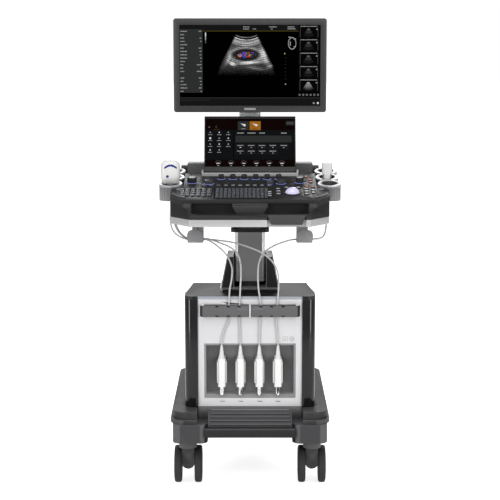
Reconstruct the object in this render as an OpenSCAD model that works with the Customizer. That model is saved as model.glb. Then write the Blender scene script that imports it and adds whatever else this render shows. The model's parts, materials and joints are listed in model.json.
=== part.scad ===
/* [Cabinet] */
// Width over the two glossy side shells
cabinet_w = 434; // [426:1:442]
// Front face of the side shells, along Y
cabinet_front = -275; // [-276:1:-274]
// Back face of the cabinet, along Y
cabinet_back = 325; // [320:1:330]
// Height of the flat top deck above the floor
deck_top = 643; // [641:1:645]
// Width of the light grey front panel
panel_w = 346; // [340:1:348]
// Front face of the light grey panel, along Y
panel_front = -270; // [-271:1:-269]

/* [Base] */
// Width of the base cover at its widest
base_w = 528; // [520:1:534]
// Back end of the base cover, along Y
base_back = 390; // [386:1:392]
// Height of the base cover's flat top
base_top = 266; // [265:1:267]
// Radius of each caster wheel
wheel_r = 62.5; // [58:0.5:64]
// Distance of each caster from the centre line
caster_x = 208; // [200:1:212]

/* [Column] */
// Centre of the lifting column, along Y
column_y = -97; // [-99:1:-95]
// Width of the inner mast tube
mast_w = 56; // [52:1:58]
// Height of the console's underside above the floor
console_bottom = 889; // [887:1:892]

/* [Console] */
// Slope of the control panel, rising to the back
panel_tilt = 12; // [11.5:0.5:12.5]
// Half width of the console at its front
console_half = 258; // [254:1:260]
// Inside radius of each probe cup
cup_bore_r = 26; // [22:1:28]
// Outside radius of each probe cup
cup_r = 37.5; // [35:0.5:38]
// Radius of the trackball
trackball_r = 25.4; // [22:0.2:25.4]

/* [Screens] */
// Width of the main monitor
monitor_w = 522; // [510:1:530]
// Height of the main monitor
monitor_h = 318; // [312:1:322]
// Width of the lit part of the main monitor
screen_w = 481; // [470:1:486]
// Height of the lit part of the main monitor
screen_h = 274; // [266:1:280]
// Width of the touch panel
touch_w = 311; // [300:1:312]
// Height of the touch panel along its own face
touch_h = 196; // [188:1:198]
// Lean of the touch panel from upright
touch_lean = 21; // [19:1:23]

/* [Cords] */
// Diameter of each probe cord
cord_d = 5.5; // [4.5:0.1:5.5]

/* [Hidden] */
$fn = 48;
gap = 0.05;
big = 2000;

half_cabinet = cabinet_w / 2;
half_back = half_cabinet - 20;
taper_y = [-205, -20];
fan_y = 285;
fan_z = 360;
door_z = [575.5, 614];
door_pin = [157, -282];
deck_step = 15;
half_panel = panel_w / 2;
shell_wall = 5;
deck_plate = 11;
shell_top = deck_top - deck_plate;
slope_start = -20;
slope_end_z = 520;
frame_bottom = 163;
frame_top = 226;
front_caster_y = -270;
rear_caster_y = 300;
trail = 25;
axle_r = 6;
stem_r = 8;
fork_w = 43;
wheel_in = fork_w / 2 + 0.5;
wheel_out = wheel_in + 24;
shelf_z = deck_top + 8;
sleeve_bottom = 671;
sleeve_top = 838;
collar_top = 850;
pivot_r = 15;
tub_floor = console_bottom + 23;
handle_top = 930;
lobe_drop = 25;
cup_slope = 10;
cup_cut = 40;
lever_x = [56, 178];
lever_top = 928;
lever_pin_z = 924;
pocket_back = -344;
grip_half = [43, 57];
grip_top = 954;
panel_front_y = -360;
panel_front_z = 973;
panel_depth = 281;
panel_notch = 251;
strip_half = 157;
panel_plate = 12;
side_step = 220;
step_y = -256;
cup_h = 56;
cups = [[262, -215, 1012], [258, -137, 1025], [258, -59, 1038]];
hinge_y = -92;
hinge_z = 1041;
hinge_pin_r = 3.2;
monitor_bottom = 1233;
monitor_axis_y = 63;
monitor_axis_z = 1392;
encoder_pitch = 38.4;
encoder_v = 224;
ball_x = 138;
ball_v = 78;
ball_depth = 8.3;
key_well = 4;
connector_x = [-94, -32, 31, 93];
cord_y = -274;
cord_start_z = 478;

// ---------- shared shapes ----------

module rounded_rect(w, d, r) {
    square([w - 2 * r, d], center = true);
    square([w, d - 2 * r], center = true);
    for (sx = [-1, 1], sy = [-1, 1])
        translate([sx * (w / 2 - r), sy * (d / 2 - r)]) circle(r);
}

// A block with rounded upright edges, from z0 to z1, over the given X and Y spans.
module slab(x, y, z, r) {
    translate([(x[0] + x[1]) / 2, (y[0] + y[1]) / 2, z[0]])
        linear_extrude(z[1] - z[0]) rounded_rect(x[1] - x[0], y[1] - y[0], r);
}

// A plain block over the given X, Y and Z spans.
module block(x, y, z) {
    translate([x[0], y[0], z[0]]) cube([x[1] - x[0], y[1] - y[0], z[1] - z[0]]);
}

// A profile drawn in Y and Z, drawn out evenly along X.
module along_x(w) {
    rotate([90, 0, 90]) linear_extrude(w, center = true) children();
}

// A profile drawn in X and Z, drawn out from y0 to y1.
module along_y(y0, y1) {
    translate([0, y1, 0]) rotate([90, 0, 0]) linear_extrude(y1 - y0) children();
}

module both_sides() {
    children();
    mirror([1, 0, 0]) children();
}

// Places its children in the control panel's own plane: X across, Y up the slope, Z off its face.
module on_panel() {
    translate([0, panel_front_y, panel_front_z]) rotate([panel_tilt, 0, 0]) children();
}

module in_touch_plane() {
    translate([0, hinge_y, hinge_z]) rotate([-touch_lean, 0, 0]) children();
}

// ---------- base and casters ----------

module base_frame() {
    color("#4c4c4c") difference() {
        union() {
            both_sides() {
                slab([140, 256], [-350, -190], [frame_bottom, frame_top], 28);
                slab([140, 256], [222, 382], [frame_bottom, frame_top], 28);
                block([165, 240], [-215, 240], [190, frame_top]);
            }
            block([-150, 150], [-355, -325], [184, 212]);
            block([-150, 150], [330, 360], [184, 212]);
        }
        for (sx = [-1, 1], y = [front_caster_y, rear_caster_y])
            translate([sx * caster_x, y, frame_bottom - 1]) cylinder(r = stem_r + gap, h = 45);
    }
}

module base_outline(inset, narrowing) {
    half = base_w / 2 - inset;
    intersection() {
        translate([0, (base_back - 345) / 2]) rounded_rect(2 * half, base_back + 345 - 2 * inset, 48);
        polygon([
            [-half, -345], [half, -345], [half, taper_y[0]], [half - narrowing, base_back],
            [narrowing - half, base_back], [-half, taper_y[0]]
        ]);
    }
}

module base_deck() {
    color("#363636") difference() {
        union() {
            translate([0, 0, frame_top]) linear_extrude(deck_step) base_outline(0, 0);
            translate([0, 0, frame_top + deck_step])
                linear_extrude(base_top - frame_top - deck_step) base_outline(8, 24);
        }
        block([-half_panel - 2, half_panel + 2], [-346, panel_front + 8], [frame_top - 1, base_top + 1]);
    }
}

module side_fairings() {
    flare_w = 34;
    flare_h = 30;
    inner = half_back - 7;
    curve = [for (a = [0:10:90])
        [half_back + flare_w * (1 - cos(a)), base_top + flare_h * (1 - sin(a))]];
    color("#3c3c3c") difference() {
        both_sides() along_y(cabinet_front + 34, cabinet_back - 45)
            polygon(concat([[inner, base_top], [inner, base_top + flare_h]], curve));
        translate([0, 0, base_top - 1]) linear_extrude(flare_h + 2) cabinet_outline(0, 26);
    }
}

module foot_rest() {
    ribs = 5;
    color("#2a2a2a") {
        along_x(279) polygon([[-336, 212], [-336, 218], [-282, 262], [-271, 262], [-271, 212]]);
        for (i = [0:ribs - 1])
            translate([0, -331 + i * 11.4, 221.5 + i * 9.3]) rotate([39, 0, 0])
                block([-136 + 2 * i, 136 - 2 * i], [-2.5, 2.5], [-2, 3.5]);
    }
}

module caster_fork(sx, y) {
    color("#3a3a3a") translate([sx * caster_x, y, 0]) difference() {
        union() {
            intersection() {
                along_y(trail - 34, trail + 34) {
                    translate([0, wheel_r + 9]) circle(fork_w / 2);
                    translate([-fork_w / 2, wheel_r + 9]) square([fork_w, 134 - wheel_r - 9]);
                }
                along_x(fork_w) polygon([
                    [trail - 34, 134], [trail - 34, 104], [trail - 20, wheel_r - 14],
                    [trail + 20, wheel_r - 14], [trail + 34, 104], [trail + 34, 134]
                ]);
            }
            translate([0, 0, 129]) cylinder(r = 30, h = 33);
            translate([0, 0, 140]) cylinder(r = stem_r, h = 60);
        }
        translate([-fork_w, trail, wheel_r]) rotate([0, 90, 0])
            cylinder(r = axle_r + gap, h = 2 * fork_w);
    }
}

module caster_wheels(sx, y) {
    half_profile = [
        [0, wheel_in], [58, wheel_in], [wheel_r, wheel_in + 4], [wheel_r, wheel_out - 4],
        [58, wheel_out], [47, wheel_out], [44, wheel_out - 4], [18, wheel_out - 4],
        [15, wheel_out], [0, wheel_out]
    ];
    color("#1c1c1c") translate([sx * caster_x, y + trail, wheel_r]) rotate([0, 90, 0]) {
        rotate_extrude() polygon(half_profile);
        mirror([0, 0, 1]) rotate_extrude() polygon(half_profile);
        translate([0, 0, -wheel_in - 1]) cylinder(r = axle_r, h = 2 * wheel_in + 2);
    }
}

// ---------- cabinet ----------

module cabinet_side_profile(drop) {
    polygon([
        [cabinet_front - 1, base_top], [cabinet_front - 1, shell_top], [slope_start, shell_top - drop],
        [cabinet_back, slope_end_z - drop], [cabinet_back, base_top]
    ]);
}

module cabinet_outline(inset, r) {
    half = half_cabinet - inset;
    back = half_back - inset;
    translate([0, cabinet_front + inset + 50]) rounded_rect(2 * half, 100, r);
    polygon([
        [-half, cabinet_front + inset + 50], [half, cabinet_front + inset + 50], [half, taper_y[0]],
        [back, taper_y[1]], [-back, taper_y[1]], [-half, taper_y[0]]
    ]);
    translate([0, (taper_y[1] - 40 + cabinet_back - inset) / 2])
        rounded_rect(2 * back, cabinet_back - inset - taper_y[1] + 40, r);
}

module cabinet_shells() {
    color("#0c0c0d") intersection() {
        translate([0, 0, base_top]) linear_extrude(shell_top - base_top) difference() {
            cabinet_outline(0, 26);
            cabinet_outline(shell_wall, 21);
            square([2 * half_panel, big], center = true);
        }
        along_x(big) cabinet_side_profile(0);
    }
}

module cabinet_top() {
    color("#484848") translate([0, 0, shell_top]) linear_extrude(deck_plate) difference() {
        intersection() {
            cabinet_outline(0, 26);
            translate([-half_cabinet, cabinet_front]) square([cabinet_w, taper_y[1] + 2 - cabinet_front]);
        }
        translate([0, cabinet_front - 1]) square([2 * half_panel, 12], center = true);
        translate([0, column_y]) square(mast_w + 1, center = true);
    }
}

module front_panel() {
    lug = 3.5;
    color("#d6d6d6") {
        difference() {
            union() {
                block([-half_panel, half_panel], [panel_front, panel_front + 12], [base_top + 2, shell_top]);
                both_sides() for (z = [door_z[0] - 0.5 - lug, door_z[1] + 0.5])
                    block([151, 163], [-286, panel_front + 1], [z, z + lug]);
            }
            block([-152, 152], [panel_front - 1, panel_front + 13], [297, 483]);
            block([-165, 165], [panel_front - 0.5, panel_front + 8], [door_z[0] - 0.4, door_z[1] + 0.4]);
            both_sides() translate([door_pin[0], door_pin[1], 560]) cylinder(r = 2 + gap, h = 70);
        }
        block([-2.6, 2.6], [-284.5, panel_front + 9], [door_z[0] - 1, door_z[1] + 1]);
    }
}

module kick_panel() {
    color("#787878") {
        block([-half_panel, half_panel], [panel_front, panel_front + 8], [frame_top, base_top]);
        block([-139.5, 139.5], [panel_front, panel_front + 8], [213, frame_top + 1]);
    }
}

module rear_cover() {
    t = 4;
    back = cabinet_back - shell_wall - 0.5;
    fall = (shell_top - slope_end_z) * (back - slope_start) / (cabinet_back - slope_start);
    low = shell_top - fall;
    color("#2c2c2c") difference() {
        union() {
            intersection() {
                along_x(2 * half_back) polygon([
                    [slope_start, shell_top - 0.5], [back, low], [back, base_top],
                    [back - t, base_top], [back - t, low - t], [slope_start, shell_top - t - 0.5]
                ]);
                translate([0, 0, base_top]) linear_extrude(big) cabinet_outline(shell_wall + 0.3, 20.5);
            }
            block([-half_panel + 0.5, half_panel - 0.5], [back - t, cabinet_back + 0.5], [base_top, low - 8]);
        }
        for (row = [0:9], sx = [-1, 1])
            block([sx * 85 - 65, sx * 85 + 65], [back - t - 1, cabinet_back + 2],
                [300 + row * 16, 306 + row * 16]);
    }
}

module connector_bay() {
    w = 151.5;
    z0 = 297.5;
    z1 = 482.5;
    back = -213;
    color("#5c5c5c") difference() {
        block([-w, w], [panel_front + 0.5, back], [z0, z1]);
        block([-w + 6, w - 6], [panel_front - 1, back - 6], [z0 + 12, z1 - 6]);
    }
}

module probe_connectors() {
    wall = -219;
    color("#f0f0f0") for (x = connector_x) translate([x, 0, 0]) {
        slab([-12.3, 12.3], [-284, wall], [338, 432], 5);
        slab([-16.5, 16.5], [-262, wall], [346, 418], 4);
        translate([0, cord_y, 431]) cylinder(r1 = 9.8, r2 = 3.4, h = cord_start_z - 431);
        translate([0, cord_y + 4, 312]) cylinder(r = 9, h = 27);
        translate([0, cord_y + 4, 309]) sphere(r = 5);
    }
}

module cable_door(sx) {
    door_h = door_z[1] - door_z[0];
    inner = [sx < 0 ? 0 : -153.5, sx < 0 ? 153.5 : 0];
    color("#333333") translate([sx * door_pin[0], door_pin[1], door_z[0]]) {
        block(inner, [-3.7, 3.5], [0, door_h]);
        cylinder(r = 3.5, h = door_h);
        translate([0, 0, -3.6]) cylinder(r = 2, h = door_h + 7.2);
    }
}

module electronics_chassis() {
    color("#9aa0a0") {
        block([-180, 180], [0, 275], [base_top, base_top + 6]);
        for (i = [0:6])
            block([-150 + i * 26, -147 + i * 26], [20, 240], [base_top + 6, 470]);
        block([40, 150], [20, 240], [base_top + 6, 400]);
        block([-60, 60], [fan_y - 10, fan_y + 25], [base_top, fan_z - 60]);
    }
    color("#202020") {
        difference() {
            block([-60, 60], [fan_y, fan_y + 25], [fan_z - 60, fan_z + 60]);
            translate([0, fan_y - 1, fan_z]) rotate([-90, 0, 0]) cylinder(r = 56, h = 27);
        }
        block([-57, 57], [fan_y, fan_y + 3], [fan_z - 4, fan_z + 4]);
        translate([0, fan_y, fan_z]) rotate([-90, 0, 0]) cylinder(r = 3, h = 20);
    }
}

module fan_rotor() {
    color("#181818") translate([0, fan_y + 5, fan_z]) rotate([-90, 0, 0]) difference() {
        union() {
            cylinder(r = 20, h = 18);
            for (i = [0:6])
                rotate(i * 360 / 7) translate([36, 0, 9]) rotate([35, 0, 0]) cube([34, 18, 2], center = true);
        }
        translate([0, 0, -1]) cylinder(r = 3 + gap, h = 20);
    }
}

// ---------- column ----------

module inner_mast() {
    color("#141414") {
        difference() {
            block([-mast_w / 2, mast_w / 2], [column_y - mast_w / 2, column_y + mast_w / 2], [base_top, 812]);
            block([-22, 22], [column_y - 22, column_y + 22], [base_top + 8, 813]);
        }
        difference() {
            block([-60, 60], [column_y - 60, column_y + 60], [base_top, base_top + 8]);
            block([-20, 20], [column_y - 20, column_y + 20], [base_top - 1, base_top + 9]);
        }
    }
}

module mast_shroud() {
    wing_top = 757;
    color("#101010") difference() {
        union() {
            both_sides() along_y(-165, -20)
                polygon([[54, shelf_z - 1], [97, shelf_z - 1], [76, wing_top], [54, wing_top]]);
            along_y(-40, -20)
                polygon([[-97, shelf_z - 1], [97, shelf_z - 1], [76, wing_top], [-76, wing_top]]);
            slab([-100, 100], [-190, -16], [deck_top, shelf_z], 10);
        }
        block([-28.5, 28.5], [column_y - 28.5, column_y + 28.5], [deck_top - 1, shelf_z + 1]);
    }
}

module gas_spring_cylinder() {
    color("#202020") translate([0, column_y, base_top + 8]) difference() {
        cylinder(r = 11, h = 286);
        translate([0, 0, 120]) cylinder(r = 4 + gap, h = 200);
    }
}

module gas_spring_rod() {
    color("#c8c8c8") translate([0, column_y, 430]) cylinder(r = 4, h = sleeve_top - 8 - 430);
}

module column_sleeve() {
    inside = mast_w / 2 + 1.5;
    color("#606060") difference() {
        slab([-50, 50], [column_y - 48, column_y + 47], [sleeve_bottom, sleeve_top], 12);
        block([-inside, inside], [column_y - inside, column_y + inside], [sleeve_bottom - 1, sleeve_top - 8]);
    }
}

module swivel_collar() {
    color("#1a1a1a") translate([0, column_y, 0]) {
        slab([-64.5, 64.5], [-48, 47], [sleeve_top, collar_top], 14);
        translate([0, 0, collar_top - 1]) cylinder(r = pivot_r, h = 31);
    }
}

// ---------- console ----------

module console_outline(inset) {
    front = -386 + inset;
    side = console_half - inset;
    step = side_step - inset;
    polygon([
        [-side, -302 + inset / 2], [-193 + inset / 2, front], [193 - inset / 2, front],
        [side, -302 + inset / 2], [side, step_y - inset], [step, step_y - inset], [step, 42 - inset],
        [-step, 42 - inset], [-step, step_y - inset], [-side, step_y - inset]
    ]);
}

// The part of the console that lies under the sloped control panel, in plan.
module top_outline(inset) {
    side = console_half - inset;
    step = side_step - inset;
    front = panel_front_y + inset;
    corner = 36;
    difference() {
        union() {
            translate([-side, front]) square([2 * side, step_y - inset - front]);
            translate([-step, front]) square([2 * step, 42 - 2 * inset - front]);
        }
        for (sx = [-1, 1]) translate([sx * side, front]) rotate(45)
            square(corner * sqrt(2), center = true);
    }
}

module above_panel(lift) {
    on_panel() translate([-big / 2, -big / 2, lift]) cube([big, big, big]);
}

module console_shell() {
    color("#3a3a3a") difference() {
        union() {
            translate([0, 0, tub_floor]) linear_extrude(handle_top - tub_floor) console_outline(0);
            difference() {
                translate([0, 0, tub_floor]) linear_extrude(200) top_outline(0);
                above_panel(-panel_plate);
            }
            difference() {
                translate([0, 0, tub_floor]) linear_extrude(200) intersection() {
                    console_outline(0);
                    both_sides() translate([190, -400]) square([80, 120]);
                }
                above_panel(-lobe_drop);
            }
            along_y(panel_front_y - 8, panel_front_y + 1) polygon([
                [-grip_half[0], handle_top - 1], [grip_half[0], handle_top - 1],
                [grip_half[1], grip_top], [-grip_half[1], grip_top]
            ]);
            translate([0, column_y, collar_top + 1]) cylinder(r = 60, h = tub_floor + 30 - collar_top - 1);
        }
        difference() {
            translate([0, 0, tub_floor + 9]) linear_extrude(200) top_outline(8);
            translate([0, column_y, 0]) cylinder(r = 60, h = tub_floor + 30);
            block([-big, big], [-400, pocket_back + 8], [800, 1200]);
            both_sides() block([190, big], [-400, -270], [800, 1200]);
        }
        both_sides() along_y(-372, pocket_back) polygon([
            [grip_half[0], tub_floor + 8], [grip_half[0], handle_top], [grip_half[1], grip_top],
            [grip_half[1], 1100], [188, 1100], [188, handle_top], [182, tub_floor + 8]
        ]);
        block([-side_step - 1, side_step + 1], [-84, 60], [1000, 1200]);
        translate([0, column_y, collar_top]) cylinder(r = pivot_r + gap, h = 33);
        block([lever_x[0] - 2, lever_x[1] + 2], [-387, -378.5], [console_bottom - 1, lever_top + 1]);
        translate([lever_x[0] - 8, -384.5, lever_pin_z]) rotate([0, 90, 0])
            cylinder(r = 2 + gap, h = lever_x[1] - lever_x[0] + 16);
        both_sides() translate([0, 0, 900]) linear_extrude(120)
            polygon([[193, -386], [258, -302], [300, -302], [300, -392], [193, -392]]);
    }
}

module console_trims() {
    color("#a8a8a8") difference() {
        union() {
            translate([0, 0, console_bottom]) linear_extrude(tub_floor - console_bottom) console_outline(1);
            both_sides() on_panel() translate([198, 78, 0]) linear_extrude(3) difference() {
                circle(57);
                circle(51);
                translate([-60, -70]) square([72, 140]);
                translate([-60, -10]) square([140, 90]);
            }
            block([-strip_half, strip_half], [-112, -98], [1018, 1035.5]);
            block([-strip_half, strip_half], [-99, -82.3], [1018, 1022]);
            both_sides() block([strip_half - 0.1, strip_half + 7], [-112, -82.3], [1018, 1045]);
        }
        translate([0, hinge_y + 4, hinge_z - 3]) rotate([0, 90, 0])
            cylinder(r = hinge_pin_r + gap, h = 332, center = true);
        translate([0, column_y, console_bottom - 1]) cylinder(r = 60.5, h = tub_floor - console_bottom + 2);
        block([lever_x[0] - 2, lever_x[1] + 2], [-388, -378.5], [console_bottom - 1, lever_top + 1]);
    }
}

module panel_outline() {
    corner = 36;
    side = console_half;
    step_v = (step_y - panel_front_y) / cos(panel_tilt);
    difference() {
        union() {
            translate([-side, 0]) square([2 * side, step_v]);
            translate([-side_step, 0]) square([2 * side_step, panel_depth]);
        }
        translate([-strip_half - 8, panel_notch]) square([2 * strip_half + 16, 60]);
        for (sx = [-1, 1]) translate([sx * side, 0]) rotate(45) square(corner * sqrt(2), center = true);
    }
}

// Places of the loose keys: x across and v up the panel, width and height of the key.
left_keys = [for (i = [0:5], j = [0:3]) [-222 + i * 18, 46 + j * 20, 14, 12]];
row_keys = [for (i = [0:9]) [-152 + i * 24, 146, 14, 7]];
right_keys = [
    [92, 60, 16, 14], [92, 86, 16, 14], [92, 112, 16, 12], [120, 124, 16, 10], [158, 124, 16, 10],
    [184, 60, 16, 14], [184, 86, 16, 14], [184, 112, 16, 12], [206, 72, 12, 16], [206, 98, 12, 16],
    [207, 130, 12, 10], [186, 136, 12, 10], [201, 183, 12, 12], [201, 206, 12, 12], [188, 240, 9, 20],
    [64, 40, 12, 14], [64, 60, 12, 14], [64, 80, 12, 14]
];
dials = [[-136, 176, 15], [103, 178, 15], [66, 170, 11]];
keyboard_cols = 13;
keyboard_rows = 6;
keyboard_pitch = [13.2, 16.4];
keyboard_at = [-106, 28];

module key_at(k, grow, depth, top) {
    translate([k[0] - k[2] / 2 - grow, k[1] - k[3] / 2 - grow, depth])
        cube([k[2] + 2 * grow, k[3] + 2 * grow, top - depth]);
}

module control_panel() {
    color("#232323") on_panel() difference() {
        union() {
            translate([0, 0, -panel_plate]) linear_extrude(panel_plate) panel_outline();
            translate([ball_x, ball_v, -40]) cylinder(r = 33, h = 30);
            translate([ball_x, ball_v, -1]) cylinder(r = 31, h = 3);
        }
        translate([ball_x, ball_v, -ball_depth]) sphere(r = trackball_r + 0.2);
        translate([ball_x, ball_v, -ball_depth]) cylinder(r = trackball_r + 0.2, h = 30);
        translate([keyboard_at[0] - 10, keyboard_at[1] - 11, -key_well])
            cube([keyboard_cols * keyboard_pitch[0] + 7, keyboard_rows * keyboard_pitch[1] + 6, 10]);
        translate([-233, 36, -key_well]) cube([112, 80, 10]);
        translate([-162, 140, -key_well]) cube([236, 12, 10]);
        for (k = right_keys) key_at(k, 0.8, -key_well, 10);
        for (d = dials) translate([d[0], d[1], -key_well]) cylinder(r = d[2] + 1, h = 10);
        for (i = [0:5])
            translate([(i - 2.5) * encoder_pitch, encoder_v, -9]) cylinder(r = 3 + gap, h = 12);
        for (x = [-193, 165]) translate([x, 188, -9]) cylinder(r = 3 + gap, h = 12);
    }
}

module keyboard_keys() {
    color("#33363c") on_panel() for (i = [0:keyboard_cols - 1], j = [0:keyboard_rows - 1])
        key_at([keyboard_at[0] + i * keyboard_pitch[0], keyboard_at[1] + j * keyboard_pitch[1], 11, 13],
            0, -1, 2.5);
}

module function_keys() {
    color("#3c3c3c") on_panel() {
        for (k = concat(left_keys, row_keys, right_keys)) key_at(k, 0, -1, 2.5);
        for (d = dials) translate([d[0], d[1], -1]) cylinder(r = d[2], h = 11);
    }
}

module knob(x, v, r, h) {
    color("#151515") on_panel() translate([x, v, 0]) {
        translate([0, 0, 0.6]) cylinder(r = r, h = h - 1.6);
        translate([0, 0, h - 1.2]) cylinder(r1 = r, r2 = r - 1.2, h = 1.2);
        translate([0, 0, -8]) cylinder(r = 3, h = 10);
    }
}

module trackball() {
    color("#e8e4f4") on_panel() translate([ball_x, ball_v, -ball_depth]) sphere(r = trackball_r);
}

module release_lever() {
    color("#2e2e2e") {
        along_y(-390, -384) polygon([
            [lever_x[0], lever_top], [lever_x[1], lever_top], [lever_x[1] - 11, 897], [lever_x[0] + 11, 897]
        ]);
        translate([lever_x[0] - 6, -384.5, lever_pin_z]) rotate([0, 90, 0])
            cylinder(r = 2, h = lever_x[1] - lever_x[0] + 12);
    }
}

module rear_housing() {
    color("#3e3e3e") difference() {
        union() {
            along_x(428) polygon([
                [-78, 1029.5], [-52, 1029.5], [-44, 1062], [22, 1062], [60, 1044], [60, 930], [42, 930],
                [42, 950], [-82, 950], [-82, 1029.5]
            ]);
            along_x(474) polygon([
                [-12, 1000], [-12, 1046], [-6, 1051], [24, 1051], [52, 1038], [52, 962], [20, 962]
            ]);
        }
        block([-205, 205], [-70, 52], [949, 1020]);
        block([-side_step - 1, side_step + 1], [-83, 42.5], [900, 1000]);
        block([-37.3, 37.3], [47.7, 79], [1029, 1063]);
    }
}

module cup_racks() {
    color("#9c9c9c") both_sides() difference() {
        union() {
            for (c = cups) translate([c[0], c[1], c[2] - cup_h]) {
                cylinder(r = cup_r, h = cup_h - 11);
                translate([0, 0, cup_h - 12]) cylinder(r = cup_r + 0.5, h = 20);
            }
            block([side_step, side_step + 22], [-246, -30], [984, 996]);
        }
        for (c = cups) {
            translate([c[0], c[1], c[2] - cup_h + 6]) cylinder(r = cup_bore_r, h = cup_h + 4);
            translate([c[0], c[1], c[2] - cup_h - 1]) cylinder(r = 14, h = 10);
            translate(c) rotate([cup_slope, 0, 0]) block([-cup_cut, cup_cut], [-cup_cut, cup_cut], [0, 20]);
        }
    }
}

module cable_hooks() {
    color("#808080") both_sides() {
        block([156, 195], [-150, -140], [808, console_bottom]);
        block([157, 209], [-185, -140], [808, 814]);
        along_y(-185, -179) polygon([
            [157, 808], [157, 836], [162, 846], [172, 851], [198, 851], [207, 846], [211, 836], [211, 818],
            [203, 808]
        ]);
    }
}

// ---------- probes ----------

module probe_convex() {
    c = cups[0];
    translate([-c[0], c[1], 0]) {
        hull() {
            translate([0, 0, c[2]]) linear_extrude(1) rounded_rect(56, 34, 12);
            translate([0, 0, c[2] + 24]) linear_extrude(1) rounded_rect(64, 42, 16);
            translate([0, 0, c[2] + 62]) linear_extrude(1) rounded_rect(62, 40, 16);
            translate([0, 0, c[2] + 74]) linear_extrude(1) rounded_rect(44, 26, 12);
        }
        translate([0, 0, c[2] - 46]) cylinder(r = 13, h = 47);
        translate([0, 0, c[2] - cup_h]) cylinder(r1 = 4, r2 = 7, h = 11);
    }
}

module slim_probe(c, x) {
    floor_z = c[2] - cup_h + 6;
    translate([x, c[1], 0]) {
        translate([0, 0, floor_z]) cylinder(r = 14.5, h = 4);
        translate([0, 0, floor_z + 3]) cylinder(r = 8.5, h = 62);
        translate([0, 0, floor_z + 64]) cylinder(r1 = 8.5, r2 = 10, h = 8);
        translate([0, 0, floor_z - 6]) cylinder(r1 = 3.6, r2 = 5, h = 7);
    }
}

module probes_left() {
    color("#f2f2f2") {
        probe_convex();
        slim_probe(cups[1], -cups[1][0] - 4);
        slim_probe(cups[2], -cups[2][0] - 3);
    }
}

module probe_right() {
    c = cups[1];
    floor_z = c[2] - cup_h + 6;
    color("#f0f0f0") translate([c[0], c[1], 0]) {
        translate([0, 0, floor_z]) cylinder(r = 15, h = 62);
        translate([0, 0, floor_z + 61]) slab([-17, 17], [-12, 12], [0, 36], 8);
        translate([0, 0, floor_z - 6]) cylinder(r1 = 4, r2 = 6, h = 7);
    }
}

// ---------- touch panel and monitor ----------

module touch_housing() {
    color("#3c3c3c") {
        in_touch_plane() difference() {
            block([-touch_w / 2, touch_w / 2], [0, 14], [-3, touch_h - 3]);
            block([-touch_w / 2 + 3, touch_w / 2 - 3], [-1, 2.2], [14, touch_h - 6]);
        }
        translate([0, hinge_y + 4, hinge_z - 3]) rotate([0, 90, 0])
            cylinder(r = hinge_pin_r, h = 326, center = true);
    }
}

module touch_glass() {
    color("#0a0a0c") in_touch_plane()
        block([-touch_w / 2 + 3.5, touch_w / 2 - 3.5], [0.4, 2.2], [14.5, touch_h - 6.5]);
}

module monitor_post() {
    color("#b4b4b4") difference() {
        union() {
            slab([-37, 37], [48, 78], [1030, 1227], 8);
            block([-37, 37], [66, 78], [1226, 1230]);
            translate([0, monitor_axis_y, 1226]) cylinder(r = 14, h = 104);
            block([-60, 60], [60, 78], [960, 1035]);
        }
        translate([0, monitor_axis_y, 1290]) cylinder(r = 8 + gap, h = 41);
    }
}

module monitor_yoke() {
    color("#2a2a2a") translate([0, monitor_axis_y, 0]) {
        translate([0, 0, 1331]) cylinder(r = 22, h = 12);
        translate([0, 0, 1295]) cylinder(r = 8, h = 37);
        both_sides() slab([31, 40], [-14, 14], [1341, monitor_axis_z + 14], 3);
        block([-40, 40], [-14, 14], [1340, 1350]);
        translate([0, 0, monitor_axis_z]) rotate([0, 90, 0]) cylinder(r = 5, h = 78, center = true);
    }
}

module monitor_bezel() {
    x = monitor_w / 2;
    z = monitor_bottom;
    color("#505050") difference() {
        translate([0, 0, z + monitor_h / 2]) rotate([90, 0, 0]) translate([0, 0, -20])
            linear_extrude(20) rounded_rect(monitor_w, monitor_h, 9);
        block([-screen_w / 2, screen_w / 2], [-1, 21], [z + 22, z + 22 + screen_h]);
    }
}

module monitor_glass() {
    color("#08090a")
        block([-screen_w / 2 + 0.3, screen_w / 2 - 0.3], [1.2, 19],
            [monitor_bottom + 22.3, monitor_bottom + 21.7 + screen_h]);
}

module monitor_back() {
    color("#303030") difference() {
        union() {
            translate([0, 34, monitor_bottom + monitor_h / 2]) rotate([90, 0, 0]) {
                translate([0, 0, 8]) linear_extrude(6) rounded_rect(monitor_w - 6, monitor_h - 6, 8);
                linear_extrude(9) rounded_rect(320, 210, 20);
            }
            block([-29.5, 29.5], [33, 50], [monitor_axis_z - 40, monitor_axis_z + 40]);
            block([-29.5, 29.5], [49, monitor_axis_y], [monitor_axis_z - 12, monitor_axis_z + 12]);
            translate([0, monitor_axis_y, monitor_axis_z]) rotate([0, 90, 0])
                cylinder(r = 12, h = 59, center = true);
        }
        translate([0, monitor_axis_y, monitor_axis_z]) rotate([0, 90, 0])
            cylinder(r = 5 + gap, h = 70, center = true);
        for (row = [0:5], sx = [-1, 1])
            block([sx * 95 - 40, sx * 95 + 40], [25, 36], [1440 + row * 7, 1443 + row * 7]);
    }
}

// ---------- cords ----------

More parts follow.
